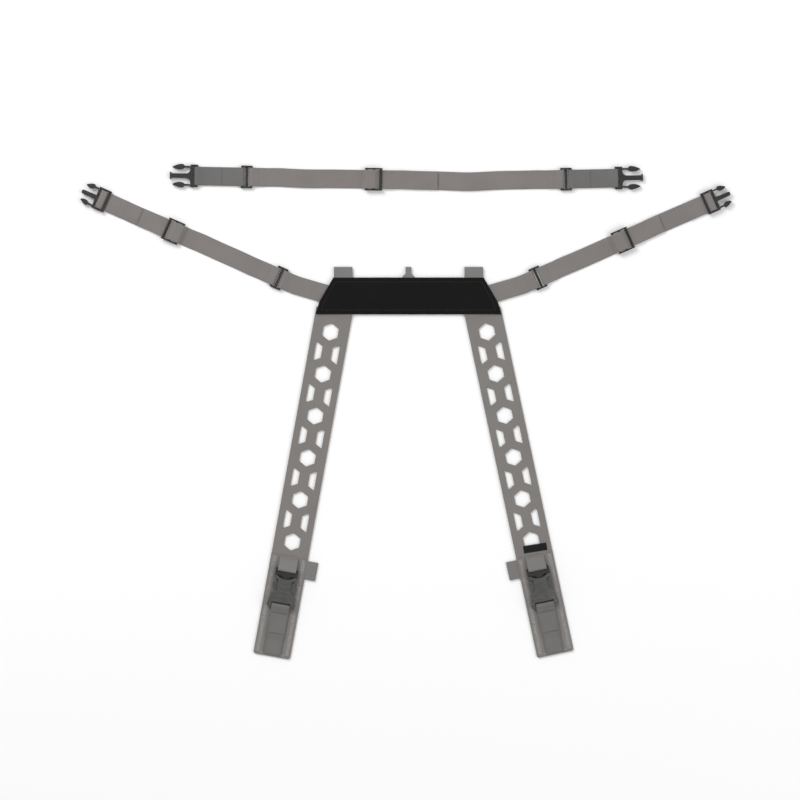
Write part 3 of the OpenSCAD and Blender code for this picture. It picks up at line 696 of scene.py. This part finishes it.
TAB_LOW = PAD_TOP + LAYER_GAP + WEB_T / 2 - LATCH_Z
for side, out in OUT.items():
    edge = on_pad[side] @ place(SIDE_LOOP_X, -out * (PAD_W / 2 + 0.05), -out * 90)
    path = moved(folded(SIDE_LOOP_OUT, 0), 0, 0.1)
    made = web_piece(
        f"side_loop_webbing_{side}", edge, path, TAB_WEB, [f"side_loop_{side}"]
    )
    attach(made, f"pad_{side}")

    begin = STRAP_GAP + 1 - LATCH_X
    low, high = (begin + 2, TAB_LOW), (begin + 2, TAB_LOW + PITCH)
    bar = (0, 0)
    path = [(begin, high[1]), high]
    top, bottom = touch(bar, TURN_R, high, -1) + 360, touch(bar, TURN_R, low, 1)
    path = path + arc(bar, TURN_R, top, bottom, 20) + [low, (begin, low[1])]
    made = web_piece(
        f"latch_tab_webbing_{side}", on_latch[side], moved(path, 0, LATCH_Z), TAB_WEB,
        [f"latch_tab_{side}"],
    )
    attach(made, f"pad_{side}")

    bar = (FEMALE_BAR, 0)
    low, high = (FEMALE_BAR + 8, TAB_LOW), (FEMALE_BAR + 8, TAB_LOW + PITCH)
    end, sewn = PAD_LEN - LATCH_X - 2.5, FEMALE_BAR + 41.9
    path = [(end, low[1]), (sewn + 3.5, low[1]), (sewn, high[1]), high]
    top, bottom = touch(bar, TURN_R, high, 1), 360 + touch(bar, TURN_R, low, -1)
    path = path + arc(bar, TURN_R, top, bottom, 20) + [low, (sewn - 1.5, low[1])]
    made = web_piece(
        f"lower_webbing_{side}", on_latch[side], moved(path, 0, LATCH_Z), LOWER_WEB,
        [f"lower_web_{side}"],
    )
    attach(made, f"pad_{side}")

# %% [markdown]
# The shoulder straps and pads are cut from flat laminate. A closed 2D curve with its holes
# is the cutting pattern: filled, given its thickness and a small rounded edge, then turned
# into a mesh and sliced every few millimetres, so that it can fold at its seams.


# %% Cut sheets
def pattern(loops, thick, rounded):
    """Mesh of a flat piece from closed outlines, the first outside and the rest holes."""
    curve = bpy.data.curves.new("pattern", "CURVE")
    curve.dimensions = "2D"
    curve.fill_mode = "BOTH"
    curve.extrude = thick / 2 - rounded
    curve.bevel_depth = rounded
    curve.bevel_resolution = 1
    for points in loops:
        line = curve.splines.new("POLY")
        line.points.add(len(points) - 1)
        for spot, (x, y) in zip(line.points, points):
            spot.co = (x, y, 0, 1)
        line.use_cyclic_u = True
    holder = bpy.data.objects.new("pattern", curve)
    bpy.context.scene.collection.objects.link(holder)
    bpy.context.view_layer.update()
    depsgraph = bpy.context.evaluated_depsgraph_get()
    mesh = bpy.data.meshes.new_from_object(holder.evaluated_get(depsgraph))
    bpy.data.objects.remove(holder)
    bm = bmesh.new()
    bm.from_mesh(mesh)
    bmesh.ops.remove_doubles(bm, verts=bm.verts, dist=0.002)
    return bm


def sliced(bm, axis, step, start, end):
    """Cuts across a flat piece about every `step`, along X (axis 0) or Y (axis 1)."""
    count = max(1, int((end - start) / step))
    for i in range(1, count):
        spot, normal = [0, 0, 0], [0, 0, 0]
        spot[axis], normal[axis] = start + (end - start) * i / count, 1
        everything = bm.verts[:] + bm.edges[:] + bm.faces[:]
        bmesh.ops.bisect_plane(bm, geom=everything, plane_co=spot, plane_no=normal, dist=0.0005)


def cut_sheet(name, where, loops, thick, z, materials, rounded=0.25, steps=(5.0, 0.0), shape=None):
    """A flat piece in the frame `where`, its middle at height z."""
    bm = pattern(loops, thick, rounded)
    xs = [p[0] for p in loops[0]]
    ys = [p[1] for p in loops[0]]
    sliced(bm, 0, steps[0], min(xs), max(xs))
    if steps[1]:
        sliced(bm, 1, steps[1], min(ys), max(ys))
    bm.normal_update()
    cloth = bm.loops.layers.uv.new("cloth")
    for face in bm.faces:
        if abs(face.normal.z) < 0.5 and len(materials) > 1:
            face.material_index = 1
        for loop in face.loops:
            loop[cloth].uv = (loop.vert.co.y, loop.vert.co.x)
    for v in bm.verts:
        spot = v.co + Vector((0, 0, z))
        v.co = where @ (shape(spot) if shape else spot)
    bmesh.ops.recalc_face_normals(bm, faces=bm.faces)
    made = new_object(name, bm, materials)
    for polygon in made.data.polygons:
        polygon.use_smooth = abs(polygon.normal.z) < 0.9
    return made


def hexagon(x, y, across_flats, corner=1.2):
    """A hexagon with points along X and slightly eased corners."""
    radius = across_flats / 3 ** 0.5
    points = []
    for i in range(6):
        a = radians(60 * i)
        for turn in (-1, 0, 1):
            reach = radius - (corner * 0.16 if turn == 0 else corner * 0.5)
            b = a + turn * corner * 0.62 / radius
            points.append((x + reach * cos(b), y + reach * sin(b)))
    return points


def slot_hole(x, sign):
    """A four-sided cut-out beside the hexagons, its long side towards the strap's edge."""
    y1 = STRAP_W / 2 - SLOT_MARGIN
    y0 = y1 - SLOT_W
    half, shorter = SLOT_LONG / 2, SLOT_W * tan(radians(30))
    corners = [(-half, y1), (half, y1), (half - shorter, y0), (shorter - half, y0)]
    return [(x + px, sign * py) for px, py in corners]


print("cut sheet maker ready")

# %% [markdown]
# Each shoulder strap has six hexagons down its middle with a pair of four-sided cut-outs
# between each two. Its top end rises from the table to sit between the yoke's panels, and
# the slices there let it fold upwards along the yoke's lower edge.


# %% Shoulder straps
def rising(p):
    """The strap's sewn end rises from the floor into the yoke."""
    t = min(1.0, max(0.0, (1.5 - p.x) / 5.0))
    return Vector((p.x, p.y, p.z + 1.05 * t * t * (3 - 2 * t)))


INSIDE_YOKE = 12.0
for side, out in OUT.items():
    lean = out * tan(radians(STRAP_LEAN[side])) * STRAP_W / 2
    strap_end = STRAP_SEAM + 0.9
    outline = [
        (lean - INSIDE_YOKE, STRAP_W / 2), (strap_end, STRAP_W / 2),
        (strap_end, -STRAP_W / 2), (-lean - INSIDE_YOKE, -STRAP_W / 2),
    ]
    first_x = STRAP_GAP + HEX_FIRST
    loops = [outline]
    loops += [hexagon(first_x + i * HEX_PITCH, 0, HEX_FLATS) for i in range(HEX_COUNT)]
    for i in range(HEX_COUNT - 1):
        x = first_x + (i + 0.5) * HEX_PITCH
        loops += [slot_hole(x, 1), slot_hole(x, -1)]
    made = cut_sheet(
        f"strap_sheet_{side}", on_strap[side], loops, STRAP_T, STRAP_MID, [LAMINATE, LAMINATE_EDGE],
        shape=rising, steps=(4.0, 0.0),
    )
    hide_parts(f"shoulder_strap_{side}", "sewn_in_ends")
    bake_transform(made)


# %% [markdown]
# A latch pad is two sheets sewn together round their edge, below the strap's last seam. The
# back sheet is flat on the table. The front one is sliced both ways, so that its middle can
# stand a quarter of a millimetre above its sewn rim.


# %% Latch pads
def pad_outline(inset):
    """The pad's outline with two rounded lower corners, made smaller by the inset."""
    x0, x1, y1 = STRAP_GAP - 0.6 + inset, PAD_LEN - inset, PAD_W / 2 - inset
    r = PAD_CORNER - inset * 0.5
    points = [(x0, -y1)]
    for centre_y, start in ((-y1 + r, -90), (y1 - r, 0)):
        for i in range(7):
            a = radians(start + 15 * i)
            points.append((x1 - r + r * cos(a), centre_y + r * sin(a)))
    return points + [(x0, y1)]


PAD_RISE, PAD_RIM_W = 0.25, 5.0


def pad_swell(p):
    """Distance from the pad's edge lifts its front a little."""
    gap = min(PAD_W / 2 - abs(p.y), PAD_LEN - p.x, p.x - STRAP_GAP + 6)
    t = min(1.0, max(0.0, gap / PAD_RIM_W))
    down = 0.35 * max(0.0, 1 - gap / 1.6) if p.z > PAD_BACK_T + 0.8 else 0
    return Vector((p.x, p.y, p.z + PAD_RISE * (t - 1) - down))


front_z = PAD_BACK_T + LAYER_GAP + PAD_FRONT_T / 2
for side in OUT:
    for word, thick, z, inset, shape, steps in (
        ("front", PAD_FRONT_T, front_z, 0.0, pad_swell, (3.0, 3.0)),
        ("back", PAD_BACK_T, PAD_BACK_T / 2, 0.2, None, (5.0, 0.0)),
    ):
        made = cut_sheet(
            f"pad_{word}_sheet_{side}", on_pad[side], [pad_outline(inset)], thick, z,
            [LAMINATE, LAMINATE_EDGE], shape=shape, steps=steps,
        )
        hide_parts(f"pad_{word}_{side}")
        seam_start, seam_end = world_point(on_pad[side], 0.0), world_point(on_pad[side], 2.4)
        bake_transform(made)
        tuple(seam_start)
        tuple(seam_end)
        print(made.name, len(made.data.polygons), "faces")

# %% [markdown]
# The yoke is two black panels sewn together round their edge, with the straps caught between
# them. The front is padded cloth: a grid is fitted to the yoke's outline, its border is
# pinned where it is stitched down, and a short cloth simulation with a little air pressure
# lifts the middle into a soft crown.


# %% Yoke cloth
def yoke_grid(name, inset, height, columns=120, rows=26):
    bm = bmesh.new()
    bmesh.ops.create_grid(bm, x_segments=columns, y_segments=rows, size=0.5)
    cloth = bm.loops.layers.uv.new("cloth")
    for v in bm.verts:
        y = v.co.y * (YOKE_H - 2 * inset)
        x = 2 * v.co.x * (yoke_half(y) - inset)
        v.co = Vector((x, y, height(x, y)))
    for face in bm.faces:
        for loop in face.loops:
            loop[cloth].uv = loop.vert.co.xy
    return new_object(name, bm, [YOKE_CLOTH])


def edge_gap(x, y):
    """Distance from a point to the yoke's outline."""
    slope = cos(radians(EDGE_SLOPE)) if y > YOKE_KINK_Y else 0.95
    return min(YOKE_H / 2 - abs(y), (yoke_half(y) - abs(x)) * slope)


def entry(x, y):
    """1 where a strap or tab is caught between the panels, else 0."""
    share = 0.0
    for centre, half, low in ((TAB_SPACING / 2, 15, 1), (0, 13, 1), (STRAP_SPACING / 2, 28, -1)):
        near = min(abs(x - centre), abs(x + centre))
        if y * low > 0:
            share = max(share, min(1.0, max(0.0, (half + 3 - near) / 4)))
    if abs(x) > YOKE_TOP_W / 2 - 2 and abs(y - ANCHOR_Y) < 17:
        share = 1.0
    return share


FRONT_T, FRONT_TOP_Z, FRONT_EDGE_Z, FRONT_ENTRY_RISE = 1.1, 4.55, 2.1, 2.15
SEAM_INSET, SEAM_DEPTH = YOKE_BORDER - 1, 0.45


def front_height(x, y):
    """The front panel's middle surface: turned down at its edge, and dented at its seam."""
    gap = edge_gap(x, y)
    edge = FRONT_EDGE_Z + FRONT_ENTRY_RISE * entry(x, y)
    t = min(1.0, max(0.0, gap / 2.2))
    height = edge + (FRONT_TOP_Z - edge) * (1 - (1 - t) ** 2)
    seam = SEAM_DEPTH * max(0.0, 1 - abs(gap - SEAM_INSET) / 1.3)
    return height - seam


front = yoke_grid("yoke_front_cloth", 0.3, front_height)
MOST_RISE = 0.0012


def settle_front(cloth_object, frames=14):
    """Pin the sewn border and let a little pressure lift the middle, up to MOST_RISE."""
    pinned = cloth_object.vertex_groups.new(name="pinned")
    border = [
        v.index for v in cloth_object.data.vertices
        if edge_gap(v.co.x * 1000, v.co.y * 1000) < YOKE_BORDER
    ]
    pinned.add(border, 1.0, "REPLACE")
    cloth = cloth_object.modifiers.new("settle", "CLOTH")
    cloth.settings.vertex_group_mass = "pinned"
    cloth.settings.quality = 6
    cloth.settings.mass = 0.2
    cloth.settings.tension_stiffness = 12
    cloth.settings.compression_stiffness = 12
    cloth.settings.bending_stiffness = 0.4
    cloth.settings.shrink_min = -0.012
    cloth.settings.use_pressure = True
    cloth.settings.uniform_pressure_force = 3.0
    cloth.settings.effector_weights.gravity = 0
    cloth.point_cache.frame_start, cloth.point_cache.frame_end = 1, frames
    scene = bpy.context.scene
    for step in range(1, frames + 1):
        scene.frame_set(step)
    shaped = cloth_object.evaluated_get(bpy.context.evaluated_depsgraph_get())
    rises = []
    for v, w in zip(cloth_object.data.vertices, shaped.data.vertices):
        rise = max(0.0, min(MOST_RISE, w.co.z - v.co.z))
        rises.append(rise)
    scene.frame_set(1)
    cloth_object.modifiers.remove(cloth)
    for v, rise in zip(cloth_object.data.vertices, rises):
        v.co.z += rise
    return max(rises)


print("front panel rises", round(settle_front(front) * 1000, 2), "mm")
for v in front.data.vertices:
    spot = Vector((v.co.x * 30, v.co.y * 40, 0.3))
    gap = min(1.0, edge_gap(v.co.x * 1000, v.co.y * 1000) / 9)
    v.co.z += 0.00035 * gap * noise.noise(spot)
thickened(front, FRONT_T, 0.3)
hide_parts("yoke_front_panel")
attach(front, "yoke")

back = yoke_grid("yoke_back_cloth", 0.0, lambda x, y: YOKE_BACK_T / 2, 60, 12)
thickened(back, YOKE_BACK_T, 0.3, angle=30)
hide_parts("yoke_back_panel")
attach(back, "yoke")
print("yoke panels", len(front.data.vertices), "and", len(back.data.vertices), "points")

# %% [markdown]
# A small woven label is sewn on the right strap. The real one is marked, so this one is left
# plain, with a stitched border and no lettering.

# %% Label
label_at = on_strap["right"] @ place(STRAP_SEAM - LABEL_W / 2 - 2.5, 3, -LABEL_TILT)
LABEL_T, LABEL_Z = 0.5, STRAP_Z + STRAP_T + 0.33


def label_corners(inset_x, inset_y):
    x, y = LABEL_W / 2 - inset_x, LABEL_LEN / 2 - inset_y
    return [(-x, -y), (x, -y), (x, y), (-x, y)]


label = cut_sheet(
    "plain_label", label_at, [label_corners(0, 0)], LABEL_T, LABEL_Z, [LABEL_CLOTH],
    rounded=0.15, steps=(1.0, 2.0),
)
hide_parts("blank_label")
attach(label, "strap_right")
print("label ready")

# %% [markdown]
# The fittings are injection moulded. Their engineering solids already have the right bars,
# rails, guides and barbs, but with knife-sharp edges. A merged copy is joined with a few
# small ribs, rebuilt as one skin with Voxel Remesh, and smoothed, which rounds every edge
# and fillets every inside corner as a mould does.


# %% Moulded fittings
def ribs(bm, where, spots, z):
    """Round grip ribs lying along Y at height z. A spot is (x, y, length, radius)."""
    for x, y, length, radius in spots:
        place_rib = where @ Matrix.Translation((x, y, z)) @ Matrix.Rotation(radians(90), 4, "X")
        bmesh.ops.create_cone(
            bm, cap_ends=True, segments=10, radius1=radius, radius2=radius, depth=length,
            matrix=Matrix.Scale(0.001, 4) @ place_rib,
        )


def posts(bm, where, spots, z, height):
    """Upright round posts with their middles at z. A spot is (x, y, radius)."""
    for x, y, radius in spots:
        bmesh.ops.create_cone(
            bm, cap_ends=True, segments=10, radius1=radius, radius2=radius, depth=height,
            matrix=Matrix.Scale(0.001, 4) @ where @ Matrix.Translation((x, y, z)),
        )


VOXEL = 0.30


def moulded(node, body, extra=None, target=7000, plastic=PLASTIC, shape=None):
    """A soft-edged skin over one CAD node, with what `extra` adds, of about `target` faces."""
    bm = bmesh.new()
    bm.from_mesh(nodes[node].data)
    bmesh.ops.remove_doubles(bm, verts=bm.verts, dist=0.000005)
    if extra:
        extra(bm)
    made = new_object(f"{node}_moulded", bm, [plastic], scale=None)
    skin = made.modifiers.new("skin", "REMESH")
    skin.mode = "VOXEL"
    skin.voxel_size = VOXEL / 1000 * 1.0
    soft = made.modifiers.new("soften", "SMOOTH")
    soft.factor, soft.iterations = 0.5, 3
    bpy.context.view_layer.update()
    shaped = made.evaluated_get(bpy.context.evaluated_depsgraph_get())
    faces = len(shaped.data.polygons) * 2
    if faces > target:
        thin = made.modifiers.new("thin", "DECIMATE")
        thin.ratio = target / faces
        bpy.context.view_layer.update()
        shaped = made.evaluated_get(bpy.context.evaluated_depsgraph_get())
    fresh = bpy.data.meshes.new_from_object(shaped)
    made.modifiers.clear()
    made.data = fresh
    if shape:
        for v in fresh.vertices:
            v.co = shape(v.co * 1000) / 1000
    for polygon in fresh.polygons:
        polygon.use_smooth = True
    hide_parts(node)
    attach(made, body)
    return made


def prong_ribs(where, sign, x0, z):
    """Four upright grip ribs along the outside of a prong's head."""
    spots = [(x0 + 1.7 * i, sign * (15.55 - 0.12 * i * i), 0.45) for i in range(4)]
    return lambda bm: posts(bm, where, spots, z, 3.6)


def crowned(where):
    """The latch's top face is domed: highest in the middle, falling to its sides and ends."""
    back = where.inverted()
    middle = (FEMALE_X0 + FEMALE_END) / 2 - 4

    def dome(v):
        p = back @ v
        high = max(0.0, (p.z - LATCH_Z - 3.4) / 0.7)
        p.z += min(1.0, high) * (1.0 - 1.5 * (p.y / 16) ** 2 - 0.7 * ((p.x - middle) / 20) ** 2)
        return where @ p

    return dome


count = 0
for side in OUT:
    moulded(f"connector_{side}", f"side_connector_{side}")
    moulded(f"top_connector_{side}", f"top_connector_{side}")

    def teeth(bm, side=side):
        spots = [(ADJUST[side] + GLIDE_PITCH * k, 0, 22, 0.4) for k in (-1, 1)]
        ribs(bm, on_side[side], spots, GLIDE_Z + BAR_R)

    moulded(f"adjuster_{side}", f"side_adjuster_{side}", teeth)
    moulded(f"buckle_male_{side}", f"side_buckle_{side}", target=12000)
    top_buckle = on_top_end[side] @ place(BAND_LEN)
    moulded(f"top_male_{side}", f"top_buckle_{side}", target=12000)
    moulded(f"latch_male_{side}", f"pad_{side}", target=9000)

    def grips(bm, side=side):
        spots = [(FEMALE_END - 12.2 - 1.8 * k, 0, 15 - 2 * k, 0.55) for k in range(3)]
        ribs(bm, on_latch[side], spots, LATCH_Z + 4.1)

    moulded(
        f"latch_female_{side}", f"pad_{side}", grips, target=16000, plastic=PAINTED_SHEEN_PLASTIC,
        shape=crowned(on_latch[side]),
    )
    for letter, sign in (("a", 1), ("b", -1)):
        for head, base, where, z, x1, start in (
            ("buckle", "side_buckle", on_buckle[side], BUCKLE_Z, BASE_X1, 7.6),
            ("top", "top_buckle", top_buckle, CONNECTOR_Z, PLAIN_X1, 10.4),
            ("latch", "latch", on_latch[side], LATCH_Z, PLAIN_X1, 10.4),
        ):
            node = f"{head}_prong_{letter}_{side}"
            moulded(
                node, f"{base}_{side}_prong_{letter}", prong_ribs(where, sign, x1 + start, z),
                target=4000, plastic=PAINTED_SHEEN_PLASTIC if head == "latch" else PLASTIC,
            )
            count += 1
moulded("top_adjuster", "top_adjuster")
print("moulded fittings and", count, "prongs")

# %% [markdown]
# Stitching makes sewn goods read as sewn. One stitch is a tiny six-sided thread, thick in
# the middle. Hundreds of them are laid in lines by a helper, and every line of stitches on
# one body becomes one piece that rides on it.


# %% Stitches
ON_WEB = L1 + WEB_T / 2 + 0.02


class Seam:
    """Collects the stitches that ride on one body."""

    total = 0

    def __init__(self, name, body, material, surface=None):
        self.name, self.body, self.material = name, body, material
        self.bm = bmesh.new()
        self.surface = surface

    def stitch(self, where, a, b, radius=0.22):
        """A thread from a to b, points in millimetres in the frame `where`."""
        a, b = where @ Vector(a), where @ Vector(b)
        if self.surface:
            a.z, b.z = self.surface(a.x, a.y), self.surface(b.x, b.y)
        along = b - a
        spin = Vector((0, 0, 1)).rotation_difference(along).to_matrix().to_4x4()
        size = Matrix.Diagonal((radius, radius, along.length / 2, 1))
        middle = Matrix.Translation((a + b) / 2) @ spin @ size
        bmesh.ops.create_uvsphere(self.bm, u_segments=6, v_segments=4, radius=1, matrix=middle)
        Seam.total += 1

    def line(self, where, a, b, pitch, radius=0.22, fill=0.72):
        """Stitches in a row from a to b; fill is the thread's share of each step."""
        a, b = Vector(a), Vector(b)
        number = max(1, round((b - a).length / pitch))
        for i in range(number):
            start = a.lerp(b, (i + (1 - fill) / 2) / number)
            end = a.lerp(b, (i + (1 + fill) / 2) / number)
            self.stitch(where, start, end, radius)

    def across(self, where, *places):
        """Rows straight across the webbing, one at each x."""
        for x in places:
            self.line(where, (x, -11.5, ON_WEB), (x, 11.5, ON_WEB), 2.2)

    def ring(self, where, corners, z, pitch, radius=0.22):
        """A closed row through the corners, at height z."""
        for a, b in zip(corners, corners[1:] + corners[:1]):
            self.line(where, (*a, z), (*b, z), pitch, radius)

    def zigzag(self, where, a, b, swing, pitch=1.4, radius=0.18):
        """A zigzag from a to b; swing is the sideways reach, a vector."""
        a, b, swing = Vector(a), Vector(b), Vector(swing)
        number = max(2, round((b - a).length / pitch))
        for i in range(number):
            p, q = a.lerp(b, i / number), a.lerp(b, (i + 1) / number)
            self.stitch(where, p + swing * (i % 2), q + swing * ((i + 1) % 2), radius)

    def tack(self, where, x, z, half=11.0, length=2.2):
        """A bar tack across the webbing: close zigzag stitches."""
        self.zigzag(where, (x, -half, z), (x, half, z), (length, 0, 0), 0.75, 0.2)

    def sealed_end_and_shadow(self, lie, where, x):
        """A dark bar across the end of a free tail at x: its melted edge, with painted shadow."""
        half = WEB_W / 2 - 0.2
        ends = [lie(Vector((x, y, L1 + WEB_T / 2 - 0.3))) for y in (-half, half)]
        self.stitch(where, *ends, 0.5)

    def done(self):
        made = new_object(self.name, self.bm, [self.material])
        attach(made, self.body)
        return made


print("seam maker ready")

# %% [markdown]
# Every folded end of webbing has one row across it, near its bar. The free tails end in a
# dark bar: the melted edge, with painted shadow of the tail's step. Each pad has a wide pale
# zigzag down both sides and across its end, and darker tacks hold the latch's webbing down.
# Dark stitches across the pad's seam also paint the shadow line along it.

# %% Stitches on webbing and pads
NEAR_BAR = 17
for side in OUT:
    where = on_side[side]
    buckle_x = ADJUST[side] + REACH[side]
    sewn_x = buckle_x - HINGE_BACK - STACK_T / 2 - TURN_GAP - 12
    band = [CONNECTOR_PITCH + 12, BAND_LEN - 12]
    top_body = "top_run" if side == "left" else "top_adjuster"
    for name, body, at, places in (
        ("anchor_stitches", f"side_anchor_{side}", where, [-NEAR_BAR]),
        ("run_stitches", f"side_run_{side}", where, [NEAR_BAR]),
        ("buckle_stitches", f"side_adjuster_{side}", where, [sewn_x]),
        ("band_stitches", f"top_band_{side}", on_top_end[side], band),
        ("top_run_stitches", top_body, on_top_end[side], [-NEAR_BAR]),
    ):
        seam = Seam(f"{name}_{side}", body, GREY_THREAD)
        seam.across(at, *places)
        seam.done()
    # A dark bar across the tail's end: its melted edge, with painted shadow of the step there.
    tail = Seam(f"tail_end_{side}", f"side_adjuster_{side}", DARK_THREAD_AND_SHADE)
    tail.sealed_end_and_shadow(loose((0, ADJUST[side], buckle_x)), where, ADJUST[side] + TAIL[side] - 0.2)
    tail.done()

    edging = Seam(f"pad_stitches_{side}", f"pad_{side}", PALE_THREAD)
    z = PAD_TOP - 0.1
    for sign in (-1, 1):
        y, swing = sign * (PAD_W / 2 - 8.0), (0, sign * 5.8, 0)
        edging.zigzag(on_pad[side], (4, y, z), (PAD_LEN - 4, y, z), swing, 1.05, 0.27)
    x, y = PAD_LEN - 4.6, PAD_W / 2 - 9
    edging.zigzag(on_pad[side], (x, -y, z), (x, y, z), (2.6, 0, 0), 1.2, 0.24)
    edging.done()

    tacks = Seam(f"pad_tacks_and_seam_shade_{side}", f"pad_{side}", DARK_THREAD_AND_SHADE)
    top = PAD_TOP + LAYER_GAP + STACK_T + 0.02
    for x, length in ((79.2, 2.2), (107.5, 2.2), (4.0, 1.6)):
        tacks.tack(on_pad[side], x, top, length=length)
    for sign in (-1, 1):
        y, y0, y1 = sign * 10.9, sign * 13.6, sign * 23.5
        tacks.line(on_pad[side], (82, y, top), (PAD_LEN - 6, y, top), 2.4)
        # Dark stitches across the pad's seam beside the tab; their dark thread also paints the
        # shadow line along the seam.
        tacks.line(on_pad[side], (2.2, y0, PAD_TOP), (2.2, y1, PAD_TOP), 2.0, radius=0.28)
    tacks.done()

top_tail = Seam("tail_end_top", "top_adjuster", DARK_THREAD_AND_SHADE)
top_tail.sealed_end_and_shadow(loose(TOP_CALM), on_top_left, TOP_TAIL - 0.2)
top_tail.done()
print("stitches on webbing and pads:", Seam.total)

# %% [markdown]
# The yoke's cloth is no longer flat, so its stitches are dropped on to it: a ray cast down
# from above each stitch finds the height of the finished surface.

# %% Stitches on the yoke and the label
bpy.context.view_layer.update()
skin_tree = BVHTree.FromObject(front, bpy.context.evaluated_depsgraph_get())


def on_front(x, y):
    """Height of the yoke's cloth in millimetres, where a stitch lies on it."""
    hit = skin_tree.ray_cast(Vector((x, y, 50)) / 1000, Vector((0, 0, -1)))[0]
    return hit.z * 1000 + 0.05


yoke_seam = Seam("yoke_stitches", "yoke", BLACK_THREAD, surface=on_front)
seam_y = YOKE_H / 2 - SEAM_INSET
corners = [(yoke_half(y) - SEAM_INSET * 1.1, y) for y in (seam_y, YOKE_KINK_Y, -seam_y)]
yoke_seam.ring(Matrix.Identity(4), corners + [(-x, y) for x, y in corners[::-1]], 4.75, 3.2)
yoke_seam.done()
label_seam = Seam("label_stitches", "strap_right", BLACK_THREAD)
label_seam.ring(label_at, label_corners(0.8, 1.0), STRAP_Z + STRAP_T + 0.6, 1.6, 0.16)
label_seam.done()
print("all stitches:", Seam.total)

# %% [markdown]
# The setting is a pale table top under wide soft lights. Large area lights give the thin
# soft shadows that a flat lay has, and a bright plain world fills them.

# %% Table and light
bm = bmesh.new()
bmesh.ops.create_grid(bm, x_segments=1, y_segments=1, size=8.0)
bmesh.ops.translate(bm, verts=bm.verts, vec=(0, 0, -0.0004))
table_paint = Paint("table", 0.9, specular=0.2)
table_paint.shader.inputs["Base Color"].default_value = (0.93, 0.93, 0.93, 1)
table_top = new_object("table_top", bm, [table_paint.material], scale=None)


def soft_light(name, spot, size, watts, aim=(0, -0.1, 0)):
    data = bpy.data.lights.new(name, "AREA")
    data.shape, data.size, data.energy = "DISK", size, watts
    lamp = bpy.data.objects.new(name, data)
    lamp.location = spot
    lamp.rotation_euler = (Vector(aim) - Vector(spot)).to_track_quat("-Z", "Y").to_euler()
    bpy.context.scene.collection.objects.link(lamp)
    return lamp


soft_light("key", (-1.6, 1.8, 2.6), 1.8, 62)
soft_light("fill", (2.2, -0.6, 2.4), 2.4, 26)
world = bpy.data.worlds.new("world")
world.use_nodes = True
world.node_tree.nodes["Background"].inputs[0].default_value = (1, 1, 1, 1)
world.node_tree.nodes["Background"].inputs[1].default_value = 0.62
bpy.context.scene.world = world
bpy.context.scene.view_settings.view_transform = "Standard"
print("stage ready")
